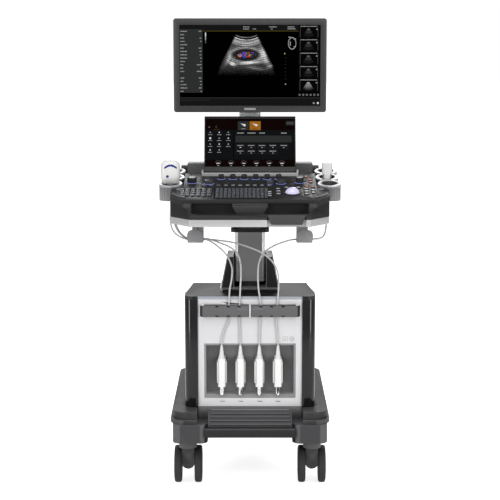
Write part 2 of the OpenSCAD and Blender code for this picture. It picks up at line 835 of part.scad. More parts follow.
// Each route runs from its connector, behind a cable door, up to a hook and on to its probe.
route_1 = [
    [-94, -274, 478], [-93, -274, 500], [-85, -274, 530], [-71, -274, 565], [-70, -274, 595],
    [-69, -275, 625], [-67, -278, 665], [-60, -275, 705], [-60, -265, 740], [-76, -250, 775],
    [-104, -225, 800], [-140, -176, 815.5], [-175, -172, 818.3], [-212, -173, 819], [-240, -184, 832],
    [-258, -200, 855], [-264, -212, 885], [-263, -215, 925], [-262, -215, 955.5]
];
route_2 = [
    [-32, -274, 478], [-33, -274, 510], [-34, -274, 550], [-35, -274, 590], [-34, -275, 625],
    [-32, -278, 670], [-30, -275, 715], [-32, -265, 755], [-44, -250, 785], [-70, -228, 802],
    [-105, -200, 812], [-140, -170, 819], [-180, -165, 817], [-212, -164, 820], [-236, -158, 836],
    [-252, -148, 862], [-261, -139, 900], [-262, -137, 935], [-262, -137, 968.5]
];
route_3 = [
    [31, -274, 478], [31, -274, 510], [32, -274, 550], [34, -274, 590], [34, -275, 625],
    [28, -278, 670], [26, -275, 715], [30, -262, 755], [46, -248, 785], [75, -225, 802],
    [110, -195, 812], [145, -170, 817], [180, -164, 817], [212, -163, 818], [236, -157, 820],
    [251, -148, 832], [257, -140, 862], [258, -137, 910], [258, -137, 968.5]
];
route_4 = [
    [93, -274, 478], [91, -274, 510], [87, -274, 550], [88, -274, 590], [91, -275, 625],
    [94, -278, 670], [93, -275, 715], [78, -266, 752], [45, -256, 782], [0, -236, 800],
    [-50, -205, 811], [-100, -185, 816], [-145, -163, 817], [-180, -157, 817], [-212, -154, 820],
    [-238, -134, 838], [-254, -100, 868], [-261, -68, 912], [-261, -59, 950], [-260, -59, 981.5]
];
steps_per_point = 3;
cord_sides = 8;

function spline(a, b, c, d, t) = 0.5 * (2 * b + (c - a) * t + (2 * a - 5 * b + 4 * c - d) * t * t
    + (3 * b - a - 3 * c + d) * t * t * t);
function smooth(p) = let (last = len(p) - 1) concat(
    [for (i = [0:last - 1], k = [0:steps_per_point - 1])
        spline(p[max(i - 1, 0)], p[i], p[i + 1], p[min(i + 2, last)], k / steps_per_point)],
    [p[last]]);
function unit(v) = v / norm(v);

module cord(route) {
    line = smooth(route);
    last = len(line) - 1;
    n = cord_sides;
    points = [for (i = [0:last])
        let (ahead = unit(line[min(i + 1, last)] - line[max(i - 1, 0)]))
        let (side = unit(cross(ahead, [0, 1, 0])), up = cross(side, ahead))
        for (k = [0:n - 1]) line[i] + cord_d / 2 * (cos(k * 360 / n) * side + sin(k * 360 / n) * up)];
    walls = [for (i = [0:last - 1], k = [0:n - 1])
        let (a = i * n + k, b = i * n + (k + 1) % n) each [[a, b, b + n], [a, b + n, a + n]]];
    color("#b8b8b8") polyhedron(points, concat(
        walls,
        [[for (k = [0:n - 1]) n - 1 - k]],
        [[for (k = [0:n - 1]) last * n + k]]
    ));
}

base_frame();
base_deck();
side_fairings();
foot_rest();
cabinet_shells();
cabinet_top();
front_panel();
kick_panel();
rear_cover();
connector_bay();
probe_connectors();
electronics_chassis();
inner_mast();
mast_shroud();
gas_spring_cylinder();
fan_rotor();
cable_door(-1);  // cable_door_left
cable_door(1);  // cable_door_right
column_sleeve();
gas_spring_rod();
swivel_collar();
console_shell();
console_trims();
control_panel();
rear_housing();
cup_racks();
cable_hooks();
probes_left();
probe_right();
monitor_post();
release_lever();
trackball();
keyboard_keys();
function_keys();
knob(-2.5 * encoder_pitch, encoder_v, 11, 14);  // encoder_1
knob(-1.5 * encoder_pitch, encoder_v, 11, 14);  // encoder_2
knob(-0.5 * encoder_pitch, encoder_v, 11, 14);  // encoder_3
knob(0.5 * encoder_pitch, encoder_v, 11, 14);  // encoder_4
knob(1.5 * encoder_pitch, encoder_v, 11, 14);  // encoder_5
knob(2.5 * encoder_pitch, encoder_v, 11, 14);  // encoder_6
knob(-193, 188, 17, 18);  // gain_knob
knob(165, 188, 15, 18);  // zoom_knob
touch_housing();
touch_glass();
monitor_yoke();
monitor_bezel();
monitor_back();
monitor_glass();
caster_fork(-1, front_caster_y);  // caster_fork_fl
caster_wheels(-1, front_caster_y);  // caster_wheels_fl
caster_fork(1, front_caster_y);  // caster_fork_fr
caster_wheels(1, front_caster_y);  // caster_wheels_fr
caster_fork(-1, rear_caster_y);  // caster_fork_rl
caster_wheels(-1, rear_caster_y);  // caster_wheels_rl
caster_fork(1, rear_caster_y);  // caster_fork_rr
caster_wheels(1, rear_caster_y);  // caster_wheels_rr
cord(route_1);  // cord_1
cord(route_2);  // cord_2
cord(route_3);  // cord_3
cord(route_4);  // cord_4
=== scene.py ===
import json
import math
import random

import bmesh
import bpy
from mathutils import Matrix, Vector
from mathutils.bvhtree import BVHTree

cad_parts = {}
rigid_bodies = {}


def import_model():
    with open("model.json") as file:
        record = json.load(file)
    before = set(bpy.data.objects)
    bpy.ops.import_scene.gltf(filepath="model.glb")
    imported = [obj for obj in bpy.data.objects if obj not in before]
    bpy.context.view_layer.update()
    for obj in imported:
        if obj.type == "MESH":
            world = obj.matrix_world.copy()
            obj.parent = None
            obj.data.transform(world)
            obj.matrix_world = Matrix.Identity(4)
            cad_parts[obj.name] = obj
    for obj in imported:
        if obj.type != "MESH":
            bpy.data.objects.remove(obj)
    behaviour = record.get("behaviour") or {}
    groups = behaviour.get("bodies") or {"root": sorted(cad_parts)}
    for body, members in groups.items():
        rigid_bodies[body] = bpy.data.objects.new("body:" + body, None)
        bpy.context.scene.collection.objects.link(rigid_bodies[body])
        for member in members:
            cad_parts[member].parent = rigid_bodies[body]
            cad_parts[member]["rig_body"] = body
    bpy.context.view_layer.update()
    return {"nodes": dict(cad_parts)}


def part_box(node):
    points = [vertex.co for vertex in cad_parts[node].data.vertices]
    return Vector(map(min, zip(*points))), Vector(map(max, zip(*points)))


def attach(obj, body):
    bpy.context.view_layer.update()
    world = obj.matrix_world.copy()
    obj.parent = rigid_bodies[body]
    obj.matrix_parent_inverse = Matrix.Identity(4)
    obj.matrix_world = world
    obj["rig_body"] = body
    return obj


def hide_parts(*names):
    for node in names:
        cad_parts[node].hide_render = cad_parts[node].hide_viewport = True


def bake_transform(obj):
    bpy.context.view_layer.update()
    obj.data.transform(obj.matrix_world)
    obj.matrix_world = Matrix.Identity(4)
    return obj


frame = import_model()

MM = 0.001
nodes = frame["nodes"]


# ---------- camera ----------

CAMERA_AT = (0.0, -4.7, 1.49)
CAMERA_LOOKS_AT = (0.0, 0.0, 0.755)
CAMERA_LENS_MM = 98.3


def make_camera():
    data = bpy.data.cameras.new("camera")
    data.lens = CAMERA_LENS_MM
    data.sensor_width = 36.0
    camera = bpy.data.objects.new("camera", data)
    bpy.context.scene.collection.objects.link(camera)
    camera.location = CAMERA_AT
    aim = Vector(CAMERA_LOOKS_AT) - Vector(CAMERA_AT)
    camera.rotation_euler = aim.to_track_quat("-Z", "Y").to_euler()
    bpy.context.scene.camera = camera


make_camera()


# ---------- materials ----------


def add(tree, kind, **values):
    node = tree.nodes.new(kind)
    for key, value in values.items():
        if key in node.inputs:
            node.inputs[key].default_value = value
        else:
            setattr(node, key, value)
    return node


def surface(name, dark, light, rough=(0.4, 0.55), metallic=0.0, patch=7.0, grain=1400.0,
            bump=0.15, coat=0.0, edge_highlight=0.0, stretch=(1, 1, 1), gloss_level=0.16):
    """A surface whose colour drifts between dark and light, with fine grain and a painted highlight along
    its convex edges.
    """
    m = bpy.data.materials.new(name)
    m.use_nodes = True
    tree = m.node_tree
    link = tree.links.new
    shader = tree.nodes["Principled BSDF"]
    shader.inputs["Metallic"].default_value = metallic
    shader.inputs["Coat Weight"].default_value = coat
    shader.inputs["Specular IOR Level"].default_value = gloss_level
    shader.inputs["Coat Roughness"].default_value = 0.08
    where = add(tree, "ShaderNodeTexCoord")
    scale = add(tree, "ShaderNodeMapping")
    scale.inputs["Scale"].default_value = stretch
    link(where.outputs["Object"], scale.inputs["Vector"])
    broad = add(tree, "ShaderNodeTexNoise", Scale=patch, Detail=4.0)
    fine = add(tree, "ShaderNodeTexNoise", Scale=grain, Detail=2.0)
    link(scale.outputs["Vector"], broad.inputs["Vector"])
    link(scale.outputs["Vector"], fine.inputs["Vector"])
    tint = add(tree, "ShaderNodeMix", data_type="RGBA")
    tint.inputs["A"].default_value = (*dark, 1)
    tint.inputs["B"].default_value = (*light, 1)
    spread = add(tree, "ShaderNodeMath", operation="MULTIPLY_ADD")
    link(broad.outputs["Fac"], spread.inputs[0])
    link(fine.outputs["Fac"], spread.inputs[1])
    spread.inputs[2].default_value = 0.2
    link(spread.outputs[0], tint.inputs["Factor"])
    colour = tint.outputs["Result"]
    # Painted highlight: convex edges, found by pointiness, are lightened towards a brighter tint of the
    # light colour.
    if edge_highlight:
        shape = add(tree, "ShaderNodeNewGeometry")
        edge = add(tree, "ShaderNodeMapRange")
        for key, value in {"From Min": 0.52, "From Max": 0.62, "To Min": 0.0, "To Max": edge_highlight}.items():
            edge.inputs[key].default_value = value
        link(shape.outputs["Pointiness"], edge.inputs["Value"])
        edge_lit = add(tree, "ShaderNodeMix", data_type="RGBA")
        edge_lit.inputs["B"].default_value = (*[min(1, c * 2.2 + 0.05) for c in light], 1)
        link(edge.outputs["Result"], edge_lit.inputs["Factor"])
        link(colour, edge_lit.inputs["A"])
        colour = edge_lit.outputs["Result"]
    link(colour, shader.inputs["Base Color"])
    polish = add(tree, "ShaderNodeMapRange")
    polish.inputs["To Min"].default_value, polish.inputs["To Max"].default_value = rough
    link(broad.outputs["Fac"], polish.inputs["Value"])
    link(polish.outputs["Result"], shader.inputs["Roughness"])
    relief = add(tree, "ShaderNodeBump", Strength=bump, Distance=0.0004)
    link(fine.outputs["Fac"], relief.inputs["Height"])
    link(relief.outputs["Normal"], shader.inputs["Normal"])
    return m


def glowing(name, dim, bright, strength, patch=300.0):
    """A lit surface whose light is a little uneven."""
    m = bpy.data.materials.new(name)
    m.use_nodes = True
    tree = m.node_tree
    shader = tree.nodes["Principled BSDF"]
    where = add(tree, "ShaderNodeTexCoord")
    noise = add(tree, "ShaderNodeTexNoise", Scale=patch, Detail=3.0)
    tree.links.new(where.outputs["Object"], noise.inputs["Vector"])
    tint = add(tree, "ShaderNodeMix", data_type="RGBA")
    tint.inputs["A"].default_value = (*dim, 1)
    tint.inputs["B"].default_value = (*bright, 1)
    tree.links.new(noise.outputs["Fac"], tint.inputs["Factor"])
    tree.links.new(tint.outputs["Result"], shader.inputs["Emission Color"])
    shader.inputs["Base Color"].default_value = (0.0, 0.0, 0.0, 1)
    shader.inputs["Emission Strength"].default_value = strength
    shader.inputs["Roughness"].default_value = 0.45
    shader.inputs["Specular IOR Level"].default_value = 0.0
    return m


charcoal = surface("charcoal_plastic", (0.036, 0.036, 0.038), (0.050, 0.050, 0.052), edge_highlight=0.5)
console_grey = surface("console_grey", (0.018, 0.018, 0.019), (0.028, 0.028, 0.029), edge_highlight=0.5)
dark = surface("dark_plastic", (0.010, 0.010, 0.011), (0.017, 0.017, 0.018), edge_highlight=0.35, gloss_level=0.1)
base_dark = surface("base_plastic", (0.022, 0.022, 0.023), (0.034, 0.034, 0.035), edge_highlight=0.5)
bezel_grey = surface("bezel_grey", (0.024, 0.024, 0.025), (0.032, 0.032, 0.033), rough=(0.45, 0.6), edge_highlight=0.3)
gloss = surface("gloss_black", (0.004, 0.004, 0.0045), (0.007, 0.007, 0.008), rough=(0.1, 0.18),
                bump=0.02, coat=0.45)
deck_grey = surface("deck_grey", (0.010, 0.010, 0.011), (0.016, 0.016, 0.017), rough=(0.3, 0.45), edge_highlight=0.4,
                    gloss_level=0.08)
panel_paint = surface("panel_paint", (0.49, 0.49, 0.50), (0.58, 0.58, 0.585), rough=(0.32, 0.45),
                      metallic=0.15, patch=3.0, bump=0.05)
kick_grey = surface("kick_grey", (0.08, 0.08, 0.083), (0.11, 0.11, 0.113), metallic=0.3, edge_highlight=0.3)
silver = surface("silver_paint", (0.34, 0.34, 0.345), (0.44, 0.44, 0.445), rough=(0.28, 0.42),
                 metallic=0.55, bump=0.05, edge_highlight=0.3)
cup_silver = surface("cup_silver", (0.17, 0.17, 0.175), (0.23, 0.23, 0.235), rough=(0.3, 0.45),
                     metallic=0.3, bump=0.06, edge_highlight=0.5)
# Painted highlight: a light grey laid on the column sleeve's front corner faces.
sleeve_edge_highlight = surface("sleeve_edge_highlight", (0.60, 0.60, 0.61), (0.72, 0.72, 0.73), rough=(0.25, 0.35), metallic=0.3,
                    bump=0.03)
hook_grey = surface("hook_grey", (0.15, 0.15, 0.155), (0.20, 0.20, 0.205), metallic=0.25, edge_highlight=0.5)
sleeve_grey = surface("sleeve_grey", (0.13, 0.13, 0.133), (0.17, 0.17, 0.173), metallic=0.25,
                      rough=(0.35, 0.5), edge_highlight=0.4)
door_grey = surface("door_grey", (0.055, 0.055, 0.057), (0.075, 0.075, 0.077), edge_highlight=0.4)
# Painted light: a much lighter silver for the front of the monitor post's neck, standing in for the light on
# it.
neck_painted_light = surface("neck_painted_light", (0.74, 0.74, 0.745), (0.84, 0.84, 0.845), rough=(0.3, 0.42),
                      bump=0.05)
trim_blue = surface("trim_metal", (0.30, 0.32, 0.36), (0.42, 0.44, 0.48), rough=(0.25, 0.35), metallic=0.5,
                    bump=0.04)
mast_black = surface("mast_black", (0.006, 0.006, 0.0065), (0.012, 0.012, 0.013), rough=(0.3, 0.45),
                     edge_highlight=0.3, gloss_level=0.2)
bay_grey = surface("bay_grey", (0.16, 0.16, 0.163), (0.21, 0.21, 0.213), edge_highlight=0.3)
steel = surface("sheet_steel", (0.40, 0.41, 0.42), (0.52, 0.53, 0.54), rough=(0.3, 0.5), metallic=0.9,
                stretch=(1, 1, 14), grain=300.0)
chrome = surface("chrome", (0.70, 0.70, 0.72), (0.80, 0.80, 0.82), rough=(0.06, 0.14), metallic=1.0,
                 bump=0.01)
tyre = surface("caster_tyre", (0.020, 0.020, 0.020), (0.034, 0.034, 0.034), rough=(0.4, 0.6), edge_highlight=0.3)
hub_grey = surface("caster_hub", (0.035, 0.035, 0.036), (0.055, 0.055, 0.056), edge_highlight=0.5)
white = surface("white_plastic", (0.60, 0.60, 0.595), (0.69, 0.69, 0.68), rough=(0.25, 0.35), bump=0.03,
                coat=0.1)
probe_white = surface("probe_white", (0.44, 0.44, 0.435), (0.54, 0.54, 0.53), rough=(0.25, 0.35), bump=0.03)
seam_grey = surface("seam_grey", (0.12, 0.12, 0.12), (0.18, 0.18, 0.18), bump=0.0)
relief_grey = surface("relief_grey", (0.48, 0.48, 0.48), (0.58, 0.58, 0.58), rough=(0.4, 0.5), bump=0.05)
blue_band = surface("blue_band", (0.012, 0.018, 0.12), (0.02, 0.03, 0.18), rough=(0.25, 0.4), bump=0.02)
key_dark = surface("key_plastic", (0.014, 0.015, 0.019), (0.023, 0.025, 0.030), rough=(0.35, 0.5), edge_highlight=0.6)
key_mark = surface("key_mark", (0.12, 0.13, 0.15), (0.20, 0.21, 0.24), rough=(0.5, 0.6), bump=0.0)
knob_black = surface("knob_black", (0.007, 0.007, 0.008), (0.014, 0.014, 0.015), rough=(0.28, 0.4), edge_highlight=0.5)
ball_lilac = surface("ball_lilac", (0.44, 0.41, 0.58), (0.54, 0.51, 0.68), rough=(0.12, 0.2), patch=30.0,
                     bump=0.01, coat=0.3)
cord_grey = surface("cord_jacket", (0.36, 0.36, 0.365), (0.46, 0.46, 0.465), rough=(0.4, 0.55), bump=0.08)
glass = surface("screen_glass", (0.006, 0.006, 0.007), (0.009, 0.009, 0.010), rough=(0.12, 0.18), bump=0.0,
                patch=2.0)
blue_glow = glowing("blue_glow", (0.26, 0.32, 0.88), (0.45, 0.52, 1.0), 1.1)
orange_glow = glowing("orange_glow", (0.8, 0.16, 0.02), (1.0, 0.26, 0.04), 1.2)

ui_back = glowing("ui_back", (0.0002, 0.0001, 0.0001), (0.0006, 0.0004, 0.0004), 1.0)
ui_shadow = glowing("ui_shadow", (0.001, 0.001, 0.001), (0.003, 0.003, 0.003), 1.0)
ui_red_shadow = glowing("ui_red_shadow", (0.003, 0.0010, 0.0010), (0.007, 0.0025, 0.0025), 1.0)
ui_bar = glowing("ui_bar", (0.0065, 0.0065, 0.007), (0.0095, 0.0095, 0.0105), 1.0)
ui_tab = glowing("ui_tab", (0.0045, 0.0052, 0.0062), (0.0065, 0.0074, 0.0086), 1.0)
ui_panel = glowing("ui_panel", (0.022, 0.024, 0.024), (0.030, 0.032, 0.032), 1.0)
ui_line = glowing("ui_line", (0.07, 0.07, 0.07), (0.11, 0.11, 0.11), 1.0)
ui_grey = glowing("ui_grey", (0.14, 0.14, 0.14), (0.22, 0.22, 0.22), 1.0)
ui_mark = glowing("ui_mark", (0.26, 0.26, 0.26), (0.40, 0.40, 0.40), 1.0)
ui_white = glowing("ui_white", (0.62, 0.62, 0.62), (0.8, 0.8, 0.8), 1.0)
ui_olive = glowing("ui_olive", (0.055, 0.042, 0.008), (0.08, 0.062, 0.012), 0.9)
ui_yellow = glowing("ui_yellow", (0.5, 0.42, 0.10), (0.8, 0.7, 0.3), 0.8)
ui_orange = glowing("ui_orange", (0.50, 0.17, 0.012), (0.62, 0.26, 0.03), 0.55, patch=60.0)
ui_red = glowing("ui_red", (0.7, 0.02, 0.02), (0.9, 0.10, 0.04), 0.9, patch=500.0)
ui_blue = glowing("ui_blue", (0.02, 0.02, 0.75), (0.06, 0.12, 0.95), 0.9, patch=500.0)
blue_dim = glowing("blue_dim", (0.03, 0.04, 0.25), (0.06, 0.08, 0.42), 0.9)
key_light = surface("key_light", (0.42, 0.42, 0.42), (0.62, 0.62, 0.62), bump=0.0)
ring_black = surface("ring_black", (0.003, 0.003, 0.004), (0.006, 0.006, 0.007), rough=(0.2, 0.3), bump=0.02)


# ---------- making and softening meshes ----------

# Angles between faces, in degrees: shaded smooth below the first, rounded off above the second.
SMOOTH_BELOW = 35.0
BEVEL_ABOVE = 34
# Faces this close to level, in degrees, are one flat face.
FLAT_WITHIN = 1.5


def new_piece(name, mesh, body, materials):
    for face in mesh.polygons:
        face.use_smooth = True
    mesh.set_sharp_from_angle(angle=math.radians(SMOOTH_BELOW))
    for m in materials:
        mesh.materials.append(m)
    piece = bpy.data.objects.new(name, mesh)
    bpy.context.scene.collection.objects.link(piece)
    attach(piece, body)
    return piece


def soft_copy(node, width, material, segments=2, second=None, second_where=None, third=None,
              third_where=None, merge=True, cuts=()):
    """The CAD node's own shape with its edges rounded, shown in its place."""
    bm = bmesh.new()
    bm.from_mesh(nodes[node].data)
    bmesh.ops.remove_doubles(bm, verts=bm.verts, dist=1e-5)
    if merge:
        bmesh.ops.dissolve_limit(bm, angle_limit=math.radians(FLAT_WITHIN), verts=bm.verts, edges=bm.edges)
    for point, normal in cuts:
        everything = list(bm.verts) + list(bm.edges) + list(bm.faces)
        bmesh.ops.bisect_plane(bm, geom=everything, dist=1e-6, plane_co=point, plane_no=normal)
    if width:
        edges = [e for e in bm.edges if len(e.link_faces) == 2
                 and e.calc_face_angle(0) > math.radians(BEVEL_ABOVE) and e.calc_length() > 2.2 * width]
        bmesh.ops.bevel(bm, geom=edges, offset=width, segments=segments, profile=0.5,
                        affect="EDGES", clamp_overlap=False)
    bmesh.ops.remove_doubles(bm, verts=bm.verts, dist=2e-6)
    bmesh.ops.recalc_face_normals(bm, faces=bm.faces)
    for face in bm.faces:
        middle = face.calc_center_median()
        face.material_index = 0
        if second_where and second_where(middle, face.normal):
            face.material_index = 1
        if third_where and third_where(middle, face.normal):
            face.material_index = 2
    mesh = bpy.data.meshes.new(node + "_skin")
    bm.to_mesh(mesh)
    bm.free()
    body = nodes[node]["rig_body"]
    made = [m for m in (material, second, third) if m]
    piece = new_piece(node + "_skin", mesh, body, made)
    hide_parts(node)
    return piece


def box_faces(bm, low, high, index, place):
    """A box from low to high, each corner carried to the model by place."""
    v = [bm.verts.new(place(Vector((x, y, z))))
         for x in (low[0], high[0]) for y in (low[1], high[1]) for z in (low[2], high[2])]
    for ring in ((0, 1, 3, 2), (4, 6, 7, 5), (0, 4, 5, 1), (2, 3, 7, 6), (0, 2, 6, 4), (1, 5, 7, 3)):
        bm.faces.new([v[i] for i in ring]).material_index = index


def turned(bm, outline, place, turns=48):
    """A lathe shape: outline is a list of (radius, height), place maps a point to the model."""
    rings = []
    for k in range(turns):
        a = math.radians(360.0 * k / turns)
        ring = [place(Vector((r * math.cos(a), r * math.sin(a), h))) for r, h in outline]
        rings.append([bm.verts.new(p) for p in ring])
    for k in range(turns):
        a, b = rings[k], rings[(k + 1) % turns]
        for i in range(len(outline) - 1):
            bm.faces.new([a[i], b[i], b[i + 1], a[i + 1]])


def finish_lathe(bm, name, body, materials):
    bmesh.ops.remove_doubles(bm, verts=bm.verts, dist=1e-6)
    bmesh.ops.recalc_face_normals(bm, faces=bm.faces)
    mesh = bpy.data.meshes.new(name)
    bm.to_mesh(mesh)
    bm.free()
    return new_piece(name, mesh, body, materials)


# ---------- places on the sloped control panel and the touch panel ----------

PANEL_TILT = math.radians(12)
PANEL_FRONT = Vector((0, -0.360, 0.973))


def on_panel(p):
    """From the panel's plane, in millimetres, to the model: X across, Y up the slope, Z off its face."""
    c, s = math.cos(PANEL_TILT), math.sin(PANEL_TILT)
    x, v, w = p[0] * MM, p[1] * MM, p[2] * MM
    return PANEL_FRONT + Vector((x, v * c - w * s, v * s + w * c))


def panel_place(x, v):
    return lambda p: on_panel(Vector((x, v, 0)) + p)


# Places on the control panel, in millimetres in its own plane.
ENCODERS = [((i - 2.5) * 38.4, 224) for i in range(6)]
GAIN_AT = (-193, 188)
ZOOM_AT = (165, 188)
SMALL_DIALS = ((-136, 176), (103, 178), (66, 170))
BALL_AT = (138, 78)


TOUCH_HINGE = Vector((0, -0.092, 1.041))
TOUCH_LEAN = math.radians(21)


def on_touch(p):
    """From the touch panel's plane, in millimetres: X across, Z up the screen, -Y off its face."""
    c, s = math.cos(TOUCH_LEAN), math.sin(TOUCH_LEAN)
    x, y, z = p[0] * MM, p[1] * MM, p[2] * MM
    return TOUCH_HINGE + Vector((x, y * c + z * s, -y * s + z * c))


# ---------- cords ----------

CORD_D = 0.0055
CORD_ROUTES_MM = {
    "cord_1": [
        (-94, -274, 478), (-93, -274, 500), (-85, -274, 530), (-71, -274, 565), (-70, -274, 595),
        (-69, -275, 625), (-67, -278, 665), (-60, -275, 705), (-60, -265, 740), (-76, -250, 775),
        (-104, -225, 800), (-140, -176, 815.5), (-175, -172, 818.3), (-212, -173, 819), (-240, -184, 832),
        (-258, -200, 855), (-264, -212, 885), (-263, -215, 925), (-262, -215, 955.5)],
    "cord_2": [
        (-32, -274, 478), (-33, -274, 510), (-34, -274, 550), (-35, -274, 590), (-34, -275, 625),
        (-32, -278, 670), (-30, -275, 715), (-32, -265, 755), (-44, -250, 785), (-70, -228, 802),
        (-105, -200, 812), (-140, -170, 819), (-180, -165, 817), (-212, -164, 820), (-236, -158, 836),
        (-252, -148, 862), (-261, -139, 900), (-262, -137, 935), (-262, -137, 968.5)],
    "cord_3": [
        (31, -274, 478), (31, -274, 510), (32, -274, 550), (34, -274, 590), (34, -275, 625),
        (28, -278, 670), (26, -275, 715), (30, -262, 755), (46, -248, 785), (75, -225, 802),
        (110, -195, 812), (145, -170, 817), (180, -164, 817), (212, -163, 818), (236, -157, 820),
        (251, -148, 832), (257, -140, 862), (258, -137, 910), (258, -137, 968.5)],
    "cord_4": [
        (93, -274, 478), (91, -274, 510), (87, -274, 550), (88, -274, 590), (91, -275, 625),
        (94, -278, 670), (93, -275, 715), (78, -266, 752), (45, -256, 782), (0, -236, 800),
        (-50, -205, 811), (-100, -185, 816), (-145, -163, 817), (-180, -157, 817), (-212, -154, 820),
        (-238, -134, 838), (-254, -100, 868), (-261, -68, 912), (-261, -59, 950), (-260, -59, 981.5)],
}
# The route's point number where a cord is cut into a lower and an upper tube.
CORD_SPLIT = {"cord_1": 8, "cord_2": 7, "cord_3": 7, "cord_4": 7}


def spline(a, b, c, d, t):
    return 0.5 * (2 * b + (c - a) * t + (2 * a - 5 * b + 4 * c - d) * t * t
                  + (3 * b - a - 3 * c + d) * t * t * t)


def cord_path(points, first, last, steps=6):
    """The smooth line through the route's points from number first to number last."""
    end = len(points) - 1
    line = []
    for i in range(first, last):
        around = [Vector(points[min(max(k, 0), end)]) * MM for k in (i - 1, i, i + 1, i + 2)]
        line += [spline(*around, t / steps) for t in range(steps)]
    return line + [Vector(points[last]) * MM]


def tube(name, line, radius, sides=14):
    bm = bmesh.new()
    rings = []
    for i, p in enumerate(line):
        ahead = (line[min(i + 1, len(line) - 1)] - line[max(i - 1, 0)]).normalized()
        side = ahead.cross(Vector((0, 1, 0))).normalized()
        up = side.cross(ahead)
        rings.append([bm.verts.new(p + radius * (math.cos(a) * side + math.sin(a) * up))
                      for a in (2 * math.pi * k / sides for k in range(sides))])
    for a, b in zip(rings, rings[1:]):
        for k in range(sides):
            bm.faces.new([a[k], a[(k + 1) % sides], b[(k + 1) % sides], b[k]])
    bm.faces.new(list(reversed(rings[0])))
    bm.faces.new(rings[-1])
    bmesh.ops.recalc_face_normals(bm, faces=bm.faces)
    mesh = bpy.data.meshes.new(name)
    bm.to_mesh(mesh)
    bm.free()
    for face in mesh.polygons:
        face.use_smooth = len(face.vertices) == 4
    mesh.materials.append(cord_grey)
    piece = bpy.data.objects.new(name, mesh)
    bpy.context.scene.collection.objects.link(piece)
    return piece


def length_of(line):
    return sum((b - a).length for a, b in zip(line, line[1:]))


def make_cords():
    for name, route in CORD_ROUTES_MM.items():
        split, last = CORD_SPLIT[name], len(route) - 1
        lower = cord_path(route, 0, split)
        upper = cord_path(route, split, last)
        low = tube(name + "_lower", lower, CORD_D / 2)
        high = tube(name + "_upper", upper, CORD_D / 2)
        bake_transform(low)
        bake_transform(high)
        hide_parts(name)
        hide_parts(name)
        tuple(lower[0])
        length_of(lower)
        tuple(upper[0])
        length_of(upper)


make_cords()


# ---------- base and casters ----------

HUB_R = 0.044


def make_base():
    soft_copy("base_frame", 2.2 * MM, charcoal, 3, second=dark,
              second_where=lambda c, n: abs(c.x) < 0.150 and c.y < -0.29 and n.z < 0.5)
    soft_copy("base_deck", 4 * MM, base_dark, 3)
    soft_copy("side_fairings", 0.8 * MM, base_dark)
    # Painted highlight: the upward faces of the top lip are painted lighter grey, and the tops of the ribs
    # lighter charcoal, as glints.
    soft_copy("foot_rest", 0.8 * MM, dark, second=kick_grey,
              second_where=lambda c, n: n.z > 0.2 and c.z > 0.255, third=charcoal,
              third_where=lambda c, n: n.z > 0.7 and c.z <= 0.255)
    soft_copy("kick_panel", 0.8 * MM, kick_grey)
    for corner in ("fl", "fr", "rl", "rr"):
        soft_copy("caster_fork_" + corner, 1.5 * MM, hub_grey)
        low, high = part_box("caster_wheels_" + corner)
        middle = (low + high) / 2

        def in_hub(c, n, middle=middle):
            return math.hypot(c.y - middle.y, c.z - middle.z) < HUB_R

        soft_copy("caster_wheels_" + corner, 1.0 * MM, tyre, second=hub_grey,
                  second_where=in_hub)


make_base()


# ---------- cabinet ----------


def make_cabinet():
    soft_copy("cabinet_shells", 1.5 * MM, gloss, 3)
    soft_copy("cabinet_top", 3.5 * MM, deck_grey, 3, second=trim_blue,
              second_where=lambda c, n: n.y < -0.3 and abs(c.x) < 0.174 and c.z < 0.6425,
              cuts=[(Vector((side * 0.173, 0, 0)), Vector((1, 0, 0))) for side in (-1, 1)])
    soft_copy("front_panel", 0.4 * MM, panel_paint, second=mast_black,
              second_where=lambda c, n: abs(c.x) < 0.166 and 0.5735 < c.z < 0.6155 and c.y > -0.2695,
              merge=False)
    soft_copy("rear_cover", 0.8 * MM, base_dark)
    soft_copy("connector_bay", 1.2 * MM, bay_grey)
    soft_copy("electronics_chassis", 0, steel)
    soft_copy("fan_rotor", 0, dark)
    soft_copy("probe_connectors", 1.0 * MM, white, second=relief_grey,
              second_where=lambda c, n: c.z > 0.4335, third=chrome, third_where=lambda c, n: c.z < 0.3375)
    for side in ("left", "right"):
        soft_copy("cable_door_" + side, 0.7 * MM, door_grey, second=knob_black,
                  second_where=lambda c, n: abs(c.x) > 0.1535)


make_cabinet()


def make_column():
    soft_copy("inner_mast", 2 * MM, mast_black)
    # Painted highlight: the shroud's front corner faces are painted silver; the upward faces of its low
    # ledge are silver too.
    soft_copy("mast_shroud", 2 * MM, mast_black, 3, second=silver,
              second_where=lambda c, n: (c.z < 0.652 and n.z > 0.5) or (abs(n.x) > 0.4 and n.y < -0.3))
    soft_copy("gas_spring_cylinder", 0.5 * MM, mast_black)
    soft_copy("gas_spring_rod", 0, chrome)
    # Painted highlight: the sleeve's front corner faces, turned towards the side lamps, are painted light
    # grey.
    soft_copy("column_sleeve", 3 * MM, sleeve_grey, 3, second=sleeve_edge_highlight,
              second_where=lambda c, n: abs(n.x) > 0.35 and n.y < -0.35)
    soft_copy("swivel_collar", 1.5 * MM, dark)


make_column()


# ---------- console ----------


# The darker lower part of the console's front ends at a line that rises outwards from here.
DARK_FROM_X = 0.180
DARK_FROM_Z = 0.9358
DARK_SLOPE = 0.33
CUPS_MM = ((262, -215), (258, -137), (258, -59))
CUP_BORE = 0.0262


